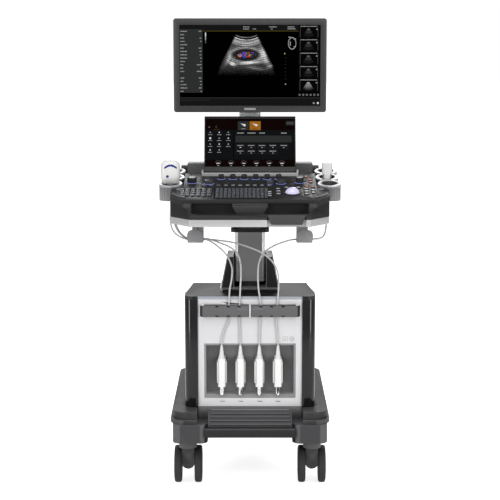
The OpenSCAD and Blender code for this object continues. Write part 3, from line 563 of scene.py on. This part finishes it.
def dark_corner_and_pocket_shade(c, n):
    """The lower part of the two front corners, and painted shade inside the finger pockets."""
    below_line = c.z < DARK_FROM_Z + DARK_SLOPE * (abs(c.x) - DARK_FROM_X)
    in_corner = abs(c.x) > 0.195 and c.y < -0.29 and below_line
    # Painted shade: the walls inside the finger pockets are painted near black.
    pocket_shade = -0.372 < c.y < -0.342 and 0.0575 < abs(c.x) < 0.189 and c.z > 0.915 and n.z < 0.5
    return in_corner or pocket_shade


# Painted shade: the faces inside the cup bores are painted near black.
def cup_bore_shade(c, n):
    return min(math.hypot(abs(c.x) - x * MM, c.y - y * MM) for x, y in CUPS_MM) < CUP_BORE


def make_console():
    cuts = [(Vector((side * DARK_FROM_X, 0, DARK_FROM_Z)), Vector((-side * DARK_SLOPE, 0, 1)))
            for side in (-1, 1)]
    soft_copy("console_shell", 2.0 * MM, console_grey, 3, second=dark, cuts=cuts,
              merge=False, second_where=dark_corner_and_pocket_shade)
    soft_copy("console_trims", 1.0 * MM, silver, second=dark,
              second_where=lambda c, n: 0.1572 < abs(c.x) < 0.166 and c.y > -0.114 and c.z > 1.01,
              third=kick_grey, third_where=lambda c, n: c.z > 0.95 and c.y < -0.2)
    soft_copy("control_panel", 1.0 * MM, dark)
    soft_copy("rear_housing", 2.5 * MM, charcoal, 3)
    # Painted shade inside the cup bores.
    soft_copy("cup_racks", 0, cup_silver, merge=False, second=dark, second_where=cup_bore_shade)
    soft_copy("cable_hooks", 1.5 * MM, hook_grey, 3)
    soft_copy("release_lever", 1.2 * MM, console_grey)
    soft_copy("keyboard_keys", 0.9 * MM, key_dark)
    soft_copy("function_keys", 0.9 * MM, key_dark)
    soft_copy("trackball", 0, ball_lilac)
    # Painted light: the front faces of the post's upper neck get the lighter silver.
    soft_copy("monitor_post", 1.5 * MM, silver, second=neck_painted_light,
              second_where=lambda c, n: n.y < -0.5 and c.z > 1.06)
    soft_copy("probes_left", 0, probe_white, merge=False, second=relief_grey,
              second_where=lambda c, n: c.z < 0.975 and c.y < -0.2)
    soft_copy("probe_right", 1.5 * MM, probe_white, 3)


make_console()


def make_screens():
    soft_copy("touch_housing", 1.2 * MM, dark, second=console_grey,
              second_where=lambda c, n: n.y < -0.5 and c.z < 1.0535)
    soft_copy("touch_glass", 0, glass)
    soft_copy("monitor_bezel", 1.5 * MM, bezel_grey, 3)
    soft_copy("monitor_glass", 0, glass)
    soft_copy("monitor_back", 1.5 * MM, charcoal, 3)
    soft_copy("monitor_yoke", 1.0 * MM, dark)


make_screens()


def make_knobs():
    """Turned knobs with a skirt, fine grips round the side and a pointer line on top."""
    knobs = [(f"encoder_{i + 1}", *at, 11, 14) for i, at in enumerate(ENCODERS)]
    knobs += [("gain_knob", *GAIN_AT, 17, 18), ("zoom_knob", *ZOOM_AT, 15, 18)]
    for name, x, v, r, h in knobs:
        bm = bmesh.new()
        place = panel_place(x, v)
        outline = [(0, 0.6), (r - 0.6, 0.6), (r, 1.2), (r, 2.6), (r - 1.4, 3.2), (r - 1.8, h - 1.8),
                   (r - 2.3, h - 0.7), (r - 3.2, h), (r - 4.6, h - 0.1), (r - 5.2, h - 0.8), (0, h - 0.9)]
        turned(bm, outline, place)
        grips = 28
        for k in range(grips):
            a = 2 * math.pi * k / grips
            turn = Matrix.Rotation(a, 3, "Z")
            box_faces(bm, (r - 1.9, -0.35, 3.6), (r - 1.2, 0.35, h - 2.2), 0,
                      lambda c, turn=turn: place(turn @ c))
        box_faces(bm, (-0.5, 0.28 * r, h - 0.95), (0.5, r - 5.4, h - 0.6), 1, place)
        piece = finish_lathe(bm, name + "_cap", nodes[name]["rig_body"],
                             [knob_black, key_mark])
        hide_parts(name)


make_knobs()


# ---------- thin printed marks and lit pictures ----------


class Marks:
    """Thin flat shapes laid just in front of a face. place maps (across, up, off the face) to the model."""

    def __init__(self, name, place, materials):
        self.name, self.place, self.materials = name, place, materials
        self.bm = bmesh.new()

    def shape(self, points, look, layer):
        off = 0.05 + 0.08 * layer
        face = self.bm.faces.new([self.bm.verts.new(self.place((a, b, off))) for a, b in points])
        face.material_index = self.materials.index(look)

    def bar(self, a0, b0, a1, b1, look, layer=0):
        self.shape([(a0, b0), (a1, b0), (a1, b1), (a0, b1)], look, layer)

    def arc(self, at, inner, outer, first, last, look, layer=0, parts=16, squash=1.0):
        def point(r, k):
            turn = math.radians(first + (last - first) * k / parts)
            return (at[0] + r * math.cos(turn), at[1] + squash * r * math.sin(turn))
        for k in range(parts):
            ends = [point(inner, k), point(outer, k), point(outer, k + 1), point(inner, k + 1)]
            self.shape(ends, look, layer)

    def disc(self, at, radius, look, layer=0, squash=1.0, parts=20):
        turns = [2 * math.pi * k / parts for k in range(parts)]
        edge = [(at[0] + radius * math.cos(t), at[1] + squash * radius * math.sin(t)) for t in turns]
        self.shape(edge, look, layer)

    def dashes(self, a, b, width, tall, look, layer, chance):
        """A row of short uneven strokes, standing in for a word or a number."""
        end = a + width
        while a < end - 0.4:
            step = min(chance.choice((0.9, 1.3, 1.8, 2.4)), end - a)
            low = chance.choice((0, 0, 0.25)) * tall
            self.bar(a, b + low, a + step, b + tall, look, layer)
            a += step + 0.55

    def build(self, body):
        mesh = bpy.data.meshes.new(self.name)
        self.bm.normal_update()
        self.bm.to_mesh(mesh)
        self.bm.free()
        return new_piece(self.name, mesh, body, self.materials)


SCREEN_LEFT, SCREEN_TOP = -240.5, 1529.0
SCREEN_W, SCREEN_H = 481.0, 274.0


def on_screen(p):
    """From the monitor picture, in millimetres from its top left, down the screen, to the model."""
    return Vector((SCREEN_LEFT + p[0], 1.15 - p[2], SCREEN_TOP - p[1])) * MM


def smooth_step(low, high, x):
    t = min(1.0, max(0.0, (x - low) / (high - low)))
    return t * t * (3 - 2 * t)


def blob(x, y, at, size, tilt=0.0):
    c, s = math.cos(math.radians(tilt)), math.sin(math.radians(tilt))
    dx, dy = x - at[0], y - at[1]
    across, along = (c * dx + s * dy) / size[0], (-s * dx + c * dy) / size[1]
    return math.exp(-(across * across + along * along))


# Bright bands near the probe: distance from the probe's centre, width, brightness.
SKIN_LAYERS = ((80, 1.3, 0.75), (88.5, 1.8, 0.95), (94, 1.6, 0.55), (99, 2.2, 0.7), (106, 3.0, 0.4))


def echo_level(x, y, r, chance):
    """How bright the picture is at x from its middle, y down the screen, r from the probe's centre."""
    skin = 0.0
    for at, wide, bright in SKIN_LAYERS:
        skin += bright * math.exp(-((r - at) / wide) ** 2)
    tissue = 0.34 * smooth_step(84, 100, r) * (1 - smooth_step(106, 200, y))
    ring = math.hypot((x + 2) / 50, (y - 101) / 21.5)
    rim = 0.30 * math.exp(-((ring - 1.10) / 0.20) ** 2)
    inside = 1 - smooth_step(0.70, 1.12, ring)
    bright = (0.95 * blob(x, y, (-48, 130), (11, 6), 25) + 0.85 * blob(x, y, (10, 128), (36, 4.2), -4)
              + 0.6 * blob(x, y, (61, 97), (10, 22), -20) + 0.5 * blob(x, y, (84, 138), (14, 6), -25)
              + 0.4 * blob(x, y, (-62, 118), (5, 16), 28) + 0.35 * blob(x, y, (66, 122), (16, 8), 20)
              + 0.3 * blob(x, y, (30, 146), (30, 5), 8))
    level = ((skin + tissue + rim + bright) * (1 - 0.72 * inside)
             + 0.20 * inside * blob(x, y, (0, 101), (36, 12)))
    streak = 0.86 + 0.16 * math.sin(r * 0.9 + 3.0 * math.sin(x * 0.05))
    return level * streak * chance.uniform(0.7, 1.2)


GREY_LEVELS = (0.004, 0.012, 0.03, 0.06, 0.11, 0.19, 0.32, 0.52, 0.8)


def make_picture():
    """The grey fan of an ultrasound picture, from the middle of a curved probe above the screen."""
    chance = random.Random(11)
    looks = [glowing(f"echo_{k}", (g * 0.6,) * 3, (g * 1.25,) * 3, 1.0, patch=420.0)
             for k, g in enumerate(GREY_LEVELS)]
    flow = [ui_red, ui_blue, ui_red, ui_blue, ui_yellow]
    marks = Marks("echo_picture", on_screen, looks + flow)
    middle, top, near, far, half = 228.0, -37.3, 78.3, 243.0, 27.5
    rows, columns = 96, 84
    cloud = {}
    for i in range(rows):
        for j in range(columns):
            r = near + (far - near) * (i + 0.5) / rows
            a = math.radians(-half + 2 * half * (j + 0.5) / columns)
            x, y = r * math.sin(a), top + r * math.cos(a)
            fade = 1 - smooth_step(0.9, 1.0, abs(a) / math.radians(half)) * 0.6
            level = echo_level(x, y, r, chance) * fade
            k = min(range(len(GREY_LEVELS)), key=lambda n: abs(GREY_LEVELS[n] - level * level))
            look = looks[k]
            near_flow = blob(x, y, (-4, 102), (30, 9), -6)
            spot = (int((x + 100) / 4.5), int(y / 4.0))
            if spot not in cloud:
                cloud[spot] = chance.random()
            if near_flow > 0.22 and cloud[spot] < 0.5 * near_flow + 0.12:
                look = flow[int(cloud[spot] * 997) % 5] if chance.random() < 0.8 else look
            if look is looks[0]:
                continue
            corners = []
            for di, dj in ((0, 0), (1, 0), (1, 1), (0, 1)):
                rr = near + (far - near) * (i + di) / rows
                aa = math.radians(-half + 2 * half * (j + dj) / columns)
                corners.append((middle + rr * math.sin(aa), top + rr * math.cos(aa)))
            marks.shape(corners, look, 2)
    marks.build("monitor")


def make_monitor_picture():
    chance = random.Random(5)
    m = Marks("screen_layout", on_screen, [ui_back, ui_panel, ui_bar, ui_line, ui_mark, ui_white, ui_olive,
                                           ui_yellow, ui_shadow, ui_grey])
    m.bar(0.5, 0.5, SCREEN_W - 0.5, SCREEN_H - 0.5, ui_back)
    m.bar(0.5, 0.5, 79, 16, ui_bar, 1)
    m.bar(0.5, 16.6, 79, 229, ui_panel, 1)
    m.bar(0.5, 16, 79, 16.6, ui_line, 2)
    rows = [k for k in range(19) if k != 13]
    for k in rows:
        t = 20 + 11.25 * k
        m.dashes(3, t, chance.choice((10, 13, 16, 20, 23)), 3.4, ui_mark, 2, chance)
        if k not in (1, 4):
            wide = chance.choice((4, 4, 6, 9, 16))
            m.dashes(75 - wide, t, wide, 3.4, ui_mark, 2, chance)
    m.bar(79, 0.5, 405, 19.5, ui_bar, 1)
    m.bar(79, 19.5, 405, 22, ui_olive, 1)
    for u, t, wide in ((217, 5, 22), (217, 12, 20), (250, 12, 11), (306, 5, 25), (312, 12, 6), (368, 5, 24),
                       (368, 11.5, 28)):
        m.dashes(u, t, wide, 3.2, ui_mark, 2, chance)
    for k in range(12):
        grey = ui_white if k < 4 else ui_mark if k < 8 else ui_line
        m.bar(87.5, 26 + 3 * k, 91, 29 + 3 * k, grey, 2)
    m.bar(0.5, 247, SCREEN_W - 0.5, SCREEN_H - 0.5, ui_bar, 1)
    m.bar(0.5, 246.3, SCREEN_W - 0.5, 247, ui_line, 2)
    m.dashes(4, 253, 96, 2.6, ui_panel, 2, chance)
    m.bar(456, 262, 462, 267, ui_mark, 2)
    m.bar(470, 261, 476, 267.5, ui_white, 2)
    # the body mark: a plain outline of an animal's trunk with a probe position beside it
    m.arc((384, 62), 12, 14, 0, 360, ui_mark, 1, 24, 1.5)
    m.bar(371, 40, 379, 42.5, ui_mark, 2)
    m.bar(389, 46, 397, 48.5, ui_mark, 2)
    m.bar(389, 72, 397, 74.5, ui_mark, 2)
    m.bar(376, 56, 379, 70, ui_mark, 2)
    m.disc((359, 96.5), 2.0, ui_yellow, 2)
    m.disc((362, 200), 2.2, ui_mark, 2)
    for k in range(7):
        m.bar(360, 110 + 12 * k, 362.5, 110.8 + 12 * k, ui_line, 2)
    # the column of small stored pictures
    m.bar(405, 0.5, SCREEN_W - 0.5, 227, ui_shadow, 1)
    for k in range(5):
        t = 3.5 + 45.2 * k
        m.dashes(413, t, 56, 2.6, ui_mark, 2, chance)
        m.bar(411, t, 412, t + 38, ui_line, 2)
        m.bar(471, t, 472, t + 38, ui_line, 2)
        m.bar(466, t + 9, 470, t + 13, ui_mark, 2)
        faint = (ui_line, ui_panel, ui_panel, ui_bar, ui_bar)
        clear = (ui_mark, ui_grey, ui_grey, ui_line, ui_panel)
        for j, look in enumerate(clear if k == 4 else faint):
            m.arc((439.7, t + 4), 5 + 5.5 * j, 10.5 + 5.5 * j, 56, 124, look, 3, 12)
    for k in range(6):
        m.bar(405 + 12.6 * k, 230.5, 415.5 + 12.6 * k, 242, ui_bar, 1)
        m.disc((410.3 + 12.6 * k, 236.2), 3.0, ui_mark, 2)
        m.bar(408.5 + 12.6 * k, 234.4, 412 + 12.6 * k, 238, ui_bar, 3)
    m.build("monitor")
    make_picture()


make_monitor_picture()


TOUCH_BOTTOM = 14.7
TOUCH_SHRINK = 0.968


def on_touch_glass(p):
    up = TOUCH_BOTTOM + (p[1] - TOUCH_BOTTOM) * TOUCH_SHRINK
    return on_touch((p[0], 0.35 - p[2], up))


def make_touch_picture():
    chance = random.Random(8)
    m = Marks("touch_layout", on_touch_glass, [ui_back, ui_shadow, ui_red_shadow, ui_panel, ui_bar, ui_tab,
                                               ui_line, ui_mark, ui_white, ui_orange, ui_olive])
    m.bar(-151.8, 14.7, 151.8, 189.3, ui_back)
    m.bar(-151.8, 148, 151.8, 189.3, ui_red_shadow, 1)
    m.bar(-151.8, 39.5, 151.8, 148, ui_tab, 1)
    m.bar(-151.8, 14.7, 151.8, 39.5, ui_red_shadow, 1)
    m.bar(-57.5, 39.5, -55, 148, ui_shadow, 2)
    for x, look in ((-41.5, ui_panel), (-1.3, ui_orange)):
        m.bar(x, 148, x + 37.6, 180, look, 2)
        m.shape([(x + 9, 172), (x + 27, 168.5), (x + 27, 164), (x + 23, 161)], ui_white, 3)
        m.bar(x + 12, 151.5, x + 26, 153.2, ui_mark if look is ui_panel else ui_olive, 3)
    m.bar(122.5, 165.5, 151, 181, ui_panel, 2)
    m.dashes(126, 171, 21, 4, ui_line, 3, chance)
    m.disc((-139, 158.5), 3, ui_line, 2)
    m.disc((-115, 160), 4, ui_panel, 2)
    m.dashes(-123, 149, 18, 2.4, ui_olive, 2, chance)
    for column in range(3):
        for row in range(4):
            x, z = -135.5 + 30.8 * column, 139.5 - 21.5 * row
            if column == 2 and row == 3:
                continue
            size = 3.6 if (column, row) == (0, 1) else 2.3
            m.disc((x, z), size, ui_white if (column + row) % 2 or size > 3 else ui_mark, 2)
            m.dashes(x - 7, z - 10, 14, 2.6, ui_mark, 2, chance)
    for x0, x1 in ((-44, -20.5), (-9.4, 19.7), (31.7, 51), (106, 125)):
        m.dashes(x0, 134.5, x1 - x0, 4.2, ui_mark, 2, chance)
    m.bar(-49, 103, 142, 127.5, ui_panel, 2)
    for row, count in ((0, 5), (1, 4)):
        for k in range(count):
            x, z = -32.6 + 36.8 * k, 88 - 20.5 * row
            m.bar(x - 15, z - 8, x + 15, z + 8, ui_panel, 2)
            m.bar(x - 14.4, z - 7.4, x + 14.4, z + 7.4, ui_bar, 3)
            m.dashes(x - 11, z + 1.5, 22, 3.4, ui_mark, 4, chance)
            m.bar(x - 2.4, z - 5, x + 2.4, z - 2.6, ui_white if (row, k) == (0, 0) else ui_mark, 4)
    for k in range(6):
        x = -107.5 + 43.2 * k
        m.arc((x, 25), 10.2, 11.3, 15, 165, ui_line, 2)
        m.dashes(x - 6, 24.5, 12, 3.6, ui_white, 3, chance)
        m.bar(x - 3, 17, x + 3, 19, ui_mark, 3)
    m.build("touch")


make_touch_picture()


# ---------- marks and lights on the console ----------


# Layers are counted off the panel's face: these two lie on the key tops and on the small dials.
KEY_LAYER = 32
DIAL_LAYER = 138


def make_console_marks():
    chance = random.Random(3)
    m = Marks("console_lights", on_panel,
              [blue_glow, blue_dim, orange_glow, key_mark, key_light, ring_black])
    for at in ENCODERS:
        m.arc(at, 12.2, 14.6, 195, 345, blue_glow, 4)
        m.arc(at, 14.6, 16.4, 215, 325, blue_dim, 4)
    for at, r in zip((GAIN_AT, ZOOM_AT, *SMALL_DIALS), (18, 16, 16, 16, 12)):
        m.arc(at, r + 0.6, r + 2.8, 200, 340, blue_glow if r > 13 else blue_dim, 4)
        m.arc(at, r + 2.8, r + 4.2, 230, 310, blue_dim, 4)
    m.arc(BALL_AT, 26.4, 31.2, 0, 360, ring_black, 8, 48)
    m.arc(BALL_AT, 27.6, 30.0, 235, 305, blue_dim, 9)
    m.build("console")

    tops = Marks("key_marks", on_panel, [key_mark, key_light, orange_glow, blue_dim])
    for i in range(6):
        for j in range(4):
            x, v = -222 + i * 18, 46 + j * 20
            tops.bar(x - 4, v - 1, x + chance.choice((0, 2, 4)), v + 0.6, key_mark, KEY_LAYER)
            if chance.random() < 0.5:
                tops.bar(x - 6.3, v - 5.2, x + 6.3, v - 4.4, key_light, KEY_LAYER)
    for i in range(10):
        x = -152 + i * 24
        look = key_light if i > 2 else key_mark
        tops.bar(x - 5.5, 144.6, x + 5.5, 147.6, look, KEY_LAYER)
    for x, v, lit in ((92, 60, 0), (92, 86, 0), (92, 112, 0), (120, 124, 0), (158, 124, 0), (184, 60, 0),
                      (184, 86, 0), (184, 112, 0), (206, 72, 0), (206, 98, 0), (207, 130, 1), (186, 136, 1),
                      (201, 183, 1), (201, 206, 1), (188, 240, 1), (64, 40, 0), (64, 60, 0), (64, 80, 0)):
        if lit:
            tops.bar(x - 4, v - 3, x + 4, v + 2, orange_glow, KEY_LAYER)
        else:
            tops.shape([(x - 5.5, v - 1.8), (x + 4.5, v - 3.2), (x + 5.5, v + 1.2), (x - 4.5, v + 2.8)],
                       key_light, KEY_LAYER)
    for x, v in SMALL_DIALS:
        tops.bar(x - 0.7, v + 2, x + 0.7, v + 9, key_mark, DIAL_LAYER)
    tops.build("keys")

    board = Marks("keyboard_marks", on_panel, [key_mark, key_light])
    for i in range(13):
        for j in range(6):
            x, v = -106 + i * 13.2, 28 + j * 16.4
            end = x + chance.choice((-1.2, -0.4, 0.6))
            board.bar(x - 3.2, v + 1.5, end, v + 4.0, key_mark, KEY_LAYER)
            if chance.random() < 0.35:
                board.bar(x + 1, v - 3.6, x + 3.4, v - 2, key_light, KEY_LAYER)
            board.bar(x - 5.0, v - 6.2, x + 5.0, v - 5.5, key_mark, KEY_LAYER)
    board.build("keyboard")


make_console_marks()


# ---------- printed marks laid on the cabinet, the probes and the bezel ----------


def against(node, lift=0.0003):
    """Lays a mark on a node's front: (x, z) in millimetres is carried along Y until it meets the node."""
    bm = bmesh.new()
    bm.from_mesh(nodes[node].data)
    bm.transform(nodes[node].matrix_world)
    tree = BVHTree.FromBMesh(bm)
    bm.free()

    def place(p):
        start = Vector((p[0] * MM, -1.0, p[1] * MM))
        hit = tree.ray_cast(start, Vector((0, 1, 0)))[0]
        off = Vector((0, lift + p[2] * MM, 0))
        return (hit or Vector((start.x, -0.2, start.z))) - off
    return place


def grid_band(marks, corners, look, across=8, down=4, layer=0):
    """A band with corners (x0, z0, x1, z1), cut small enough to follow a curved face."""
    x0, z0, x1, z1 = corners
    for i in range(across):
        for j in range(down):
            a0, a1 = x0 + (x1 - x0) * i / across, x0 + (x1 - x0) * (i + 1) / across
            b0, b1 = z0 + (z1 - z0) * j / down, z0 + (z1 - z0) * (j + 1) / down
            marks.bar(a0, b0, a1, b1, look, layer)


CONNECTORS_X = (-92, -30, 33, 94)


def make_cabinet_marks():
    chance = random.Random(21)
    m = Marks("panel_marks", against("front_panel"), [relief_grey, kick_grey, charcoal, white])
    m.bar(-170, 565.4, -83, 566.2, relief_grey)
    m.shape([(-83, 565.4), (-75, 554.6), (-75, 555.4), (-83, 566.2)], relief_grey, 0)
    m.bar(-75, 554.6, 76, 555.4, relief_grey)
    m.shape([(76, 554.6), (84, 565.4), (84, 566.2), (76, 555.4)], relief_grey, 0)
    m.bar(84, 565.4, 170, 566.2, relief_grey)
    m.bar(109, 492, 125, 506, kick_grey)
    m.bar(110, 493, 124, 505, white, 1)
    m.dashes(112, 500, 10, 2.4, kick_grey, 2, chance)
    m.dashes(112, 495, 10, 2.4, kick_grey, 2, chance)
    m.arc((139, 499), 6.6, 7.6, 0, 360, kick_grey, 0, 20)
    m.bar(134.6, 498.4, 143.4, 499.6, kick_grey)
    for x in CONNECTORS_X:
        m.dashes(x - 8, 284, 16, 3, kick_grey, 0, chance)
    m.build("base")
    c = Marks("connector_seams", against("probe_connectors"), [seam_grey, ring_black])
    for x in CONNECTORS_X:
        for side in (-1, 1):
            grid_band(c, (x + side * 11.6 - 0.5, 346, x + side * 11.6 + 0.5, 428), seam_grey, 1, 8)
        c.bar(x - 5, 325.5, x + 1, 330, ring_black)
        c.bar(x - 2, 318, x + 3.5, 321.5, ring_black)
    c.build("base")
    for side, sign in (("left", -1), ("right", 1)):
        d = Marks("door_marks_" + side, against("cable_door_" + side), [key_mark, ring_black])
        for x in (35.6, 71.5, 109):
            d.bar(sign * x - 5, 608.5, sign * x + 5, 613.3, ring_black)
            d.bar(sign * x - 5, 576.3, sign * x + 5, 580.5, ring_black)
        d.bar(min(sign * 8, sign * 44), 600.2, max(sign * 8, sign * 44), 600.9, key_mark)
        d.dashes(sign * 26 - 15, 602.5, 30, 2.2, key_mark, 0, chance)
        d.build(nodes["cable_door_" + side]["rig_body"])


def make_probe_marks():
    left = Marks("probe_marks_left", against("probes_left"), [blue_band, relief_grey])
    for k in range(8):
        x0 = -281 + 5.1 * k
        rise = 9.0 * math.sin(math.pi * k / 8)
        rise_next = 9.0 * math.sin(math.pi * (k + 1) / 8)
        left.shape([(x0, 1060 + rise), (x0 + 5.1, 1060 + rise_next), (x0 + 5.1, 1067 + rise_next),
                    (x0, 1067 + rise)], blue_band, 0)
    left.disc((-271, 1036), 4.6, blue_band, 0)
    left.build(nodes["probes_left"]["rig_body"])


def make_bezel_mark():
    m = Marks("bezel_mark", against("monitor_bezel"), [ui_mark])
    m.bar(-19.5, 1241, 19.5, 1248, ui_mark)
    m.build(nodes["monitor_bezel"]["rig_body"])


make_cabinet_marks()
make_probe_marks()
make_bezel_mark()


# ---------- floor, light ----------

FLOOR_LIFT = 0.8
SKY_LIGHT = 0.5


def lit_for_eye(tree, light, eye):
    """Chooses between what lights the object and what the eye sees directly, for a plain white studio."""
    ray = add(tree, "ShaderNodeLightPath")
    mix = add(tree, "ShaderNodeMixShader")
    tree.links.new(ray.outputs["Is Camera Ray"], mix.inputs["Fac"])
    tree.links.new(light, mix.inputs[1])
    tree.links.new(eye, mix.inputs[2])
    return mix.outputs["Shader"]


def make_floor():
    bm = bmesh.new()
    bmesh.ops.create_grid(bm, x_segments=1, y_segments=1, size=40)
    mesh = bpy.data.meshes.new("floor")
    bm.to_mesh(mesh)
    bm.free()
    floor = bpy.data.objects.new("floor", mesh)
    bpy.context.scene.collection.objects.link(floor)
    pale = surface("floor_pale", (0.86, 0.86, 0.86), (0.90, 0.90, 0.90), rough=(0.7, 0.8), patch=0.6,
                   grain=60.0, bump=0.0, gloss_level=0.0)
    tree = pale.node_tree
    shader = tree.nodes["Principled BSDF"]
    own_light = add(tree, "ShaderNodeEmission", Strength=FLOOR_LIFT)
    both = add(tree, "ShaderNodeAddShader")
    tree.links.new(shader.outputs["BSDF"], both.inputs[0])
    tree.links.new(own_light.outputs["Emission"], both.inputs[1])
    out = next(n for n in tree.nodes if n.type == "OUTPUT_MATERIAL")
    seen = lit_for_eye(tree, shader.outputs["BSDF"], both.outputs["Shader"])
    tree.links.new(seen, out.inputs["Surface"])
    mesh.materials.append(pale)


def make_sky():
    world = bpy.data.worlds.new("studio")
    bpy.context.scene.world = world
    world.use_nodes = True
    tree = world.node_tree
    soft = tree.nodes["Background"]
    soft.inputs["Color"].default_value = (1, 1, 1, 1)
    soft.inputs["Strength"].default_value = SKY_LIGHT
    bright = add(tree, "ShaderNodeBackground", Strength=1.0)
    bright.inputs["Color"].default_value = (1, 1, 1, 1)
    out = next(n for n in tree.nodes if n.type == "OUTPUT_WORLD")
    seen = lit_for_eye(tree, soft.outputs["Background"], bright.outputs["Background"])
    tree.links.new(seen, out.inputs["Surface"])


def area_light(name, at, to, size, watts):
    data = bpy.data.lights.new(name, "AREA")
    data.shape = "RECTANGLE"
    data.size, data.size_y = size
    data.energy = watts
    lamp = bpy.data.objects.new(name, data)
    bpy.context.scene.collection.objects.link(lamp)
    lamp.location = at
    lamp.rotation_euler = (Vector(to) - Vector(at)).to_track_quat("-Z", "Y").to_euler()


bpy.context.scene.view_settings.view_transform = "Standard"
make_floor()
make_sky()
area_light("left_box", (-2.6, -2.6, 1.5), (0, 0, 0.8), (0.9, 2.9), 64)
area_light("right_box", (2.6, -2.6, 1.5), (0, 0, 0.8), (0.9, 2.9), 64)
area_light("top_box", (0, -1.6, 3.6), (0, 0, 0.9), (2.4, 1.2), 70)
area_light("rear_box", (0, 3.0, 2.6), (0, 0, 0.8), (2.4, 1.2), 60)
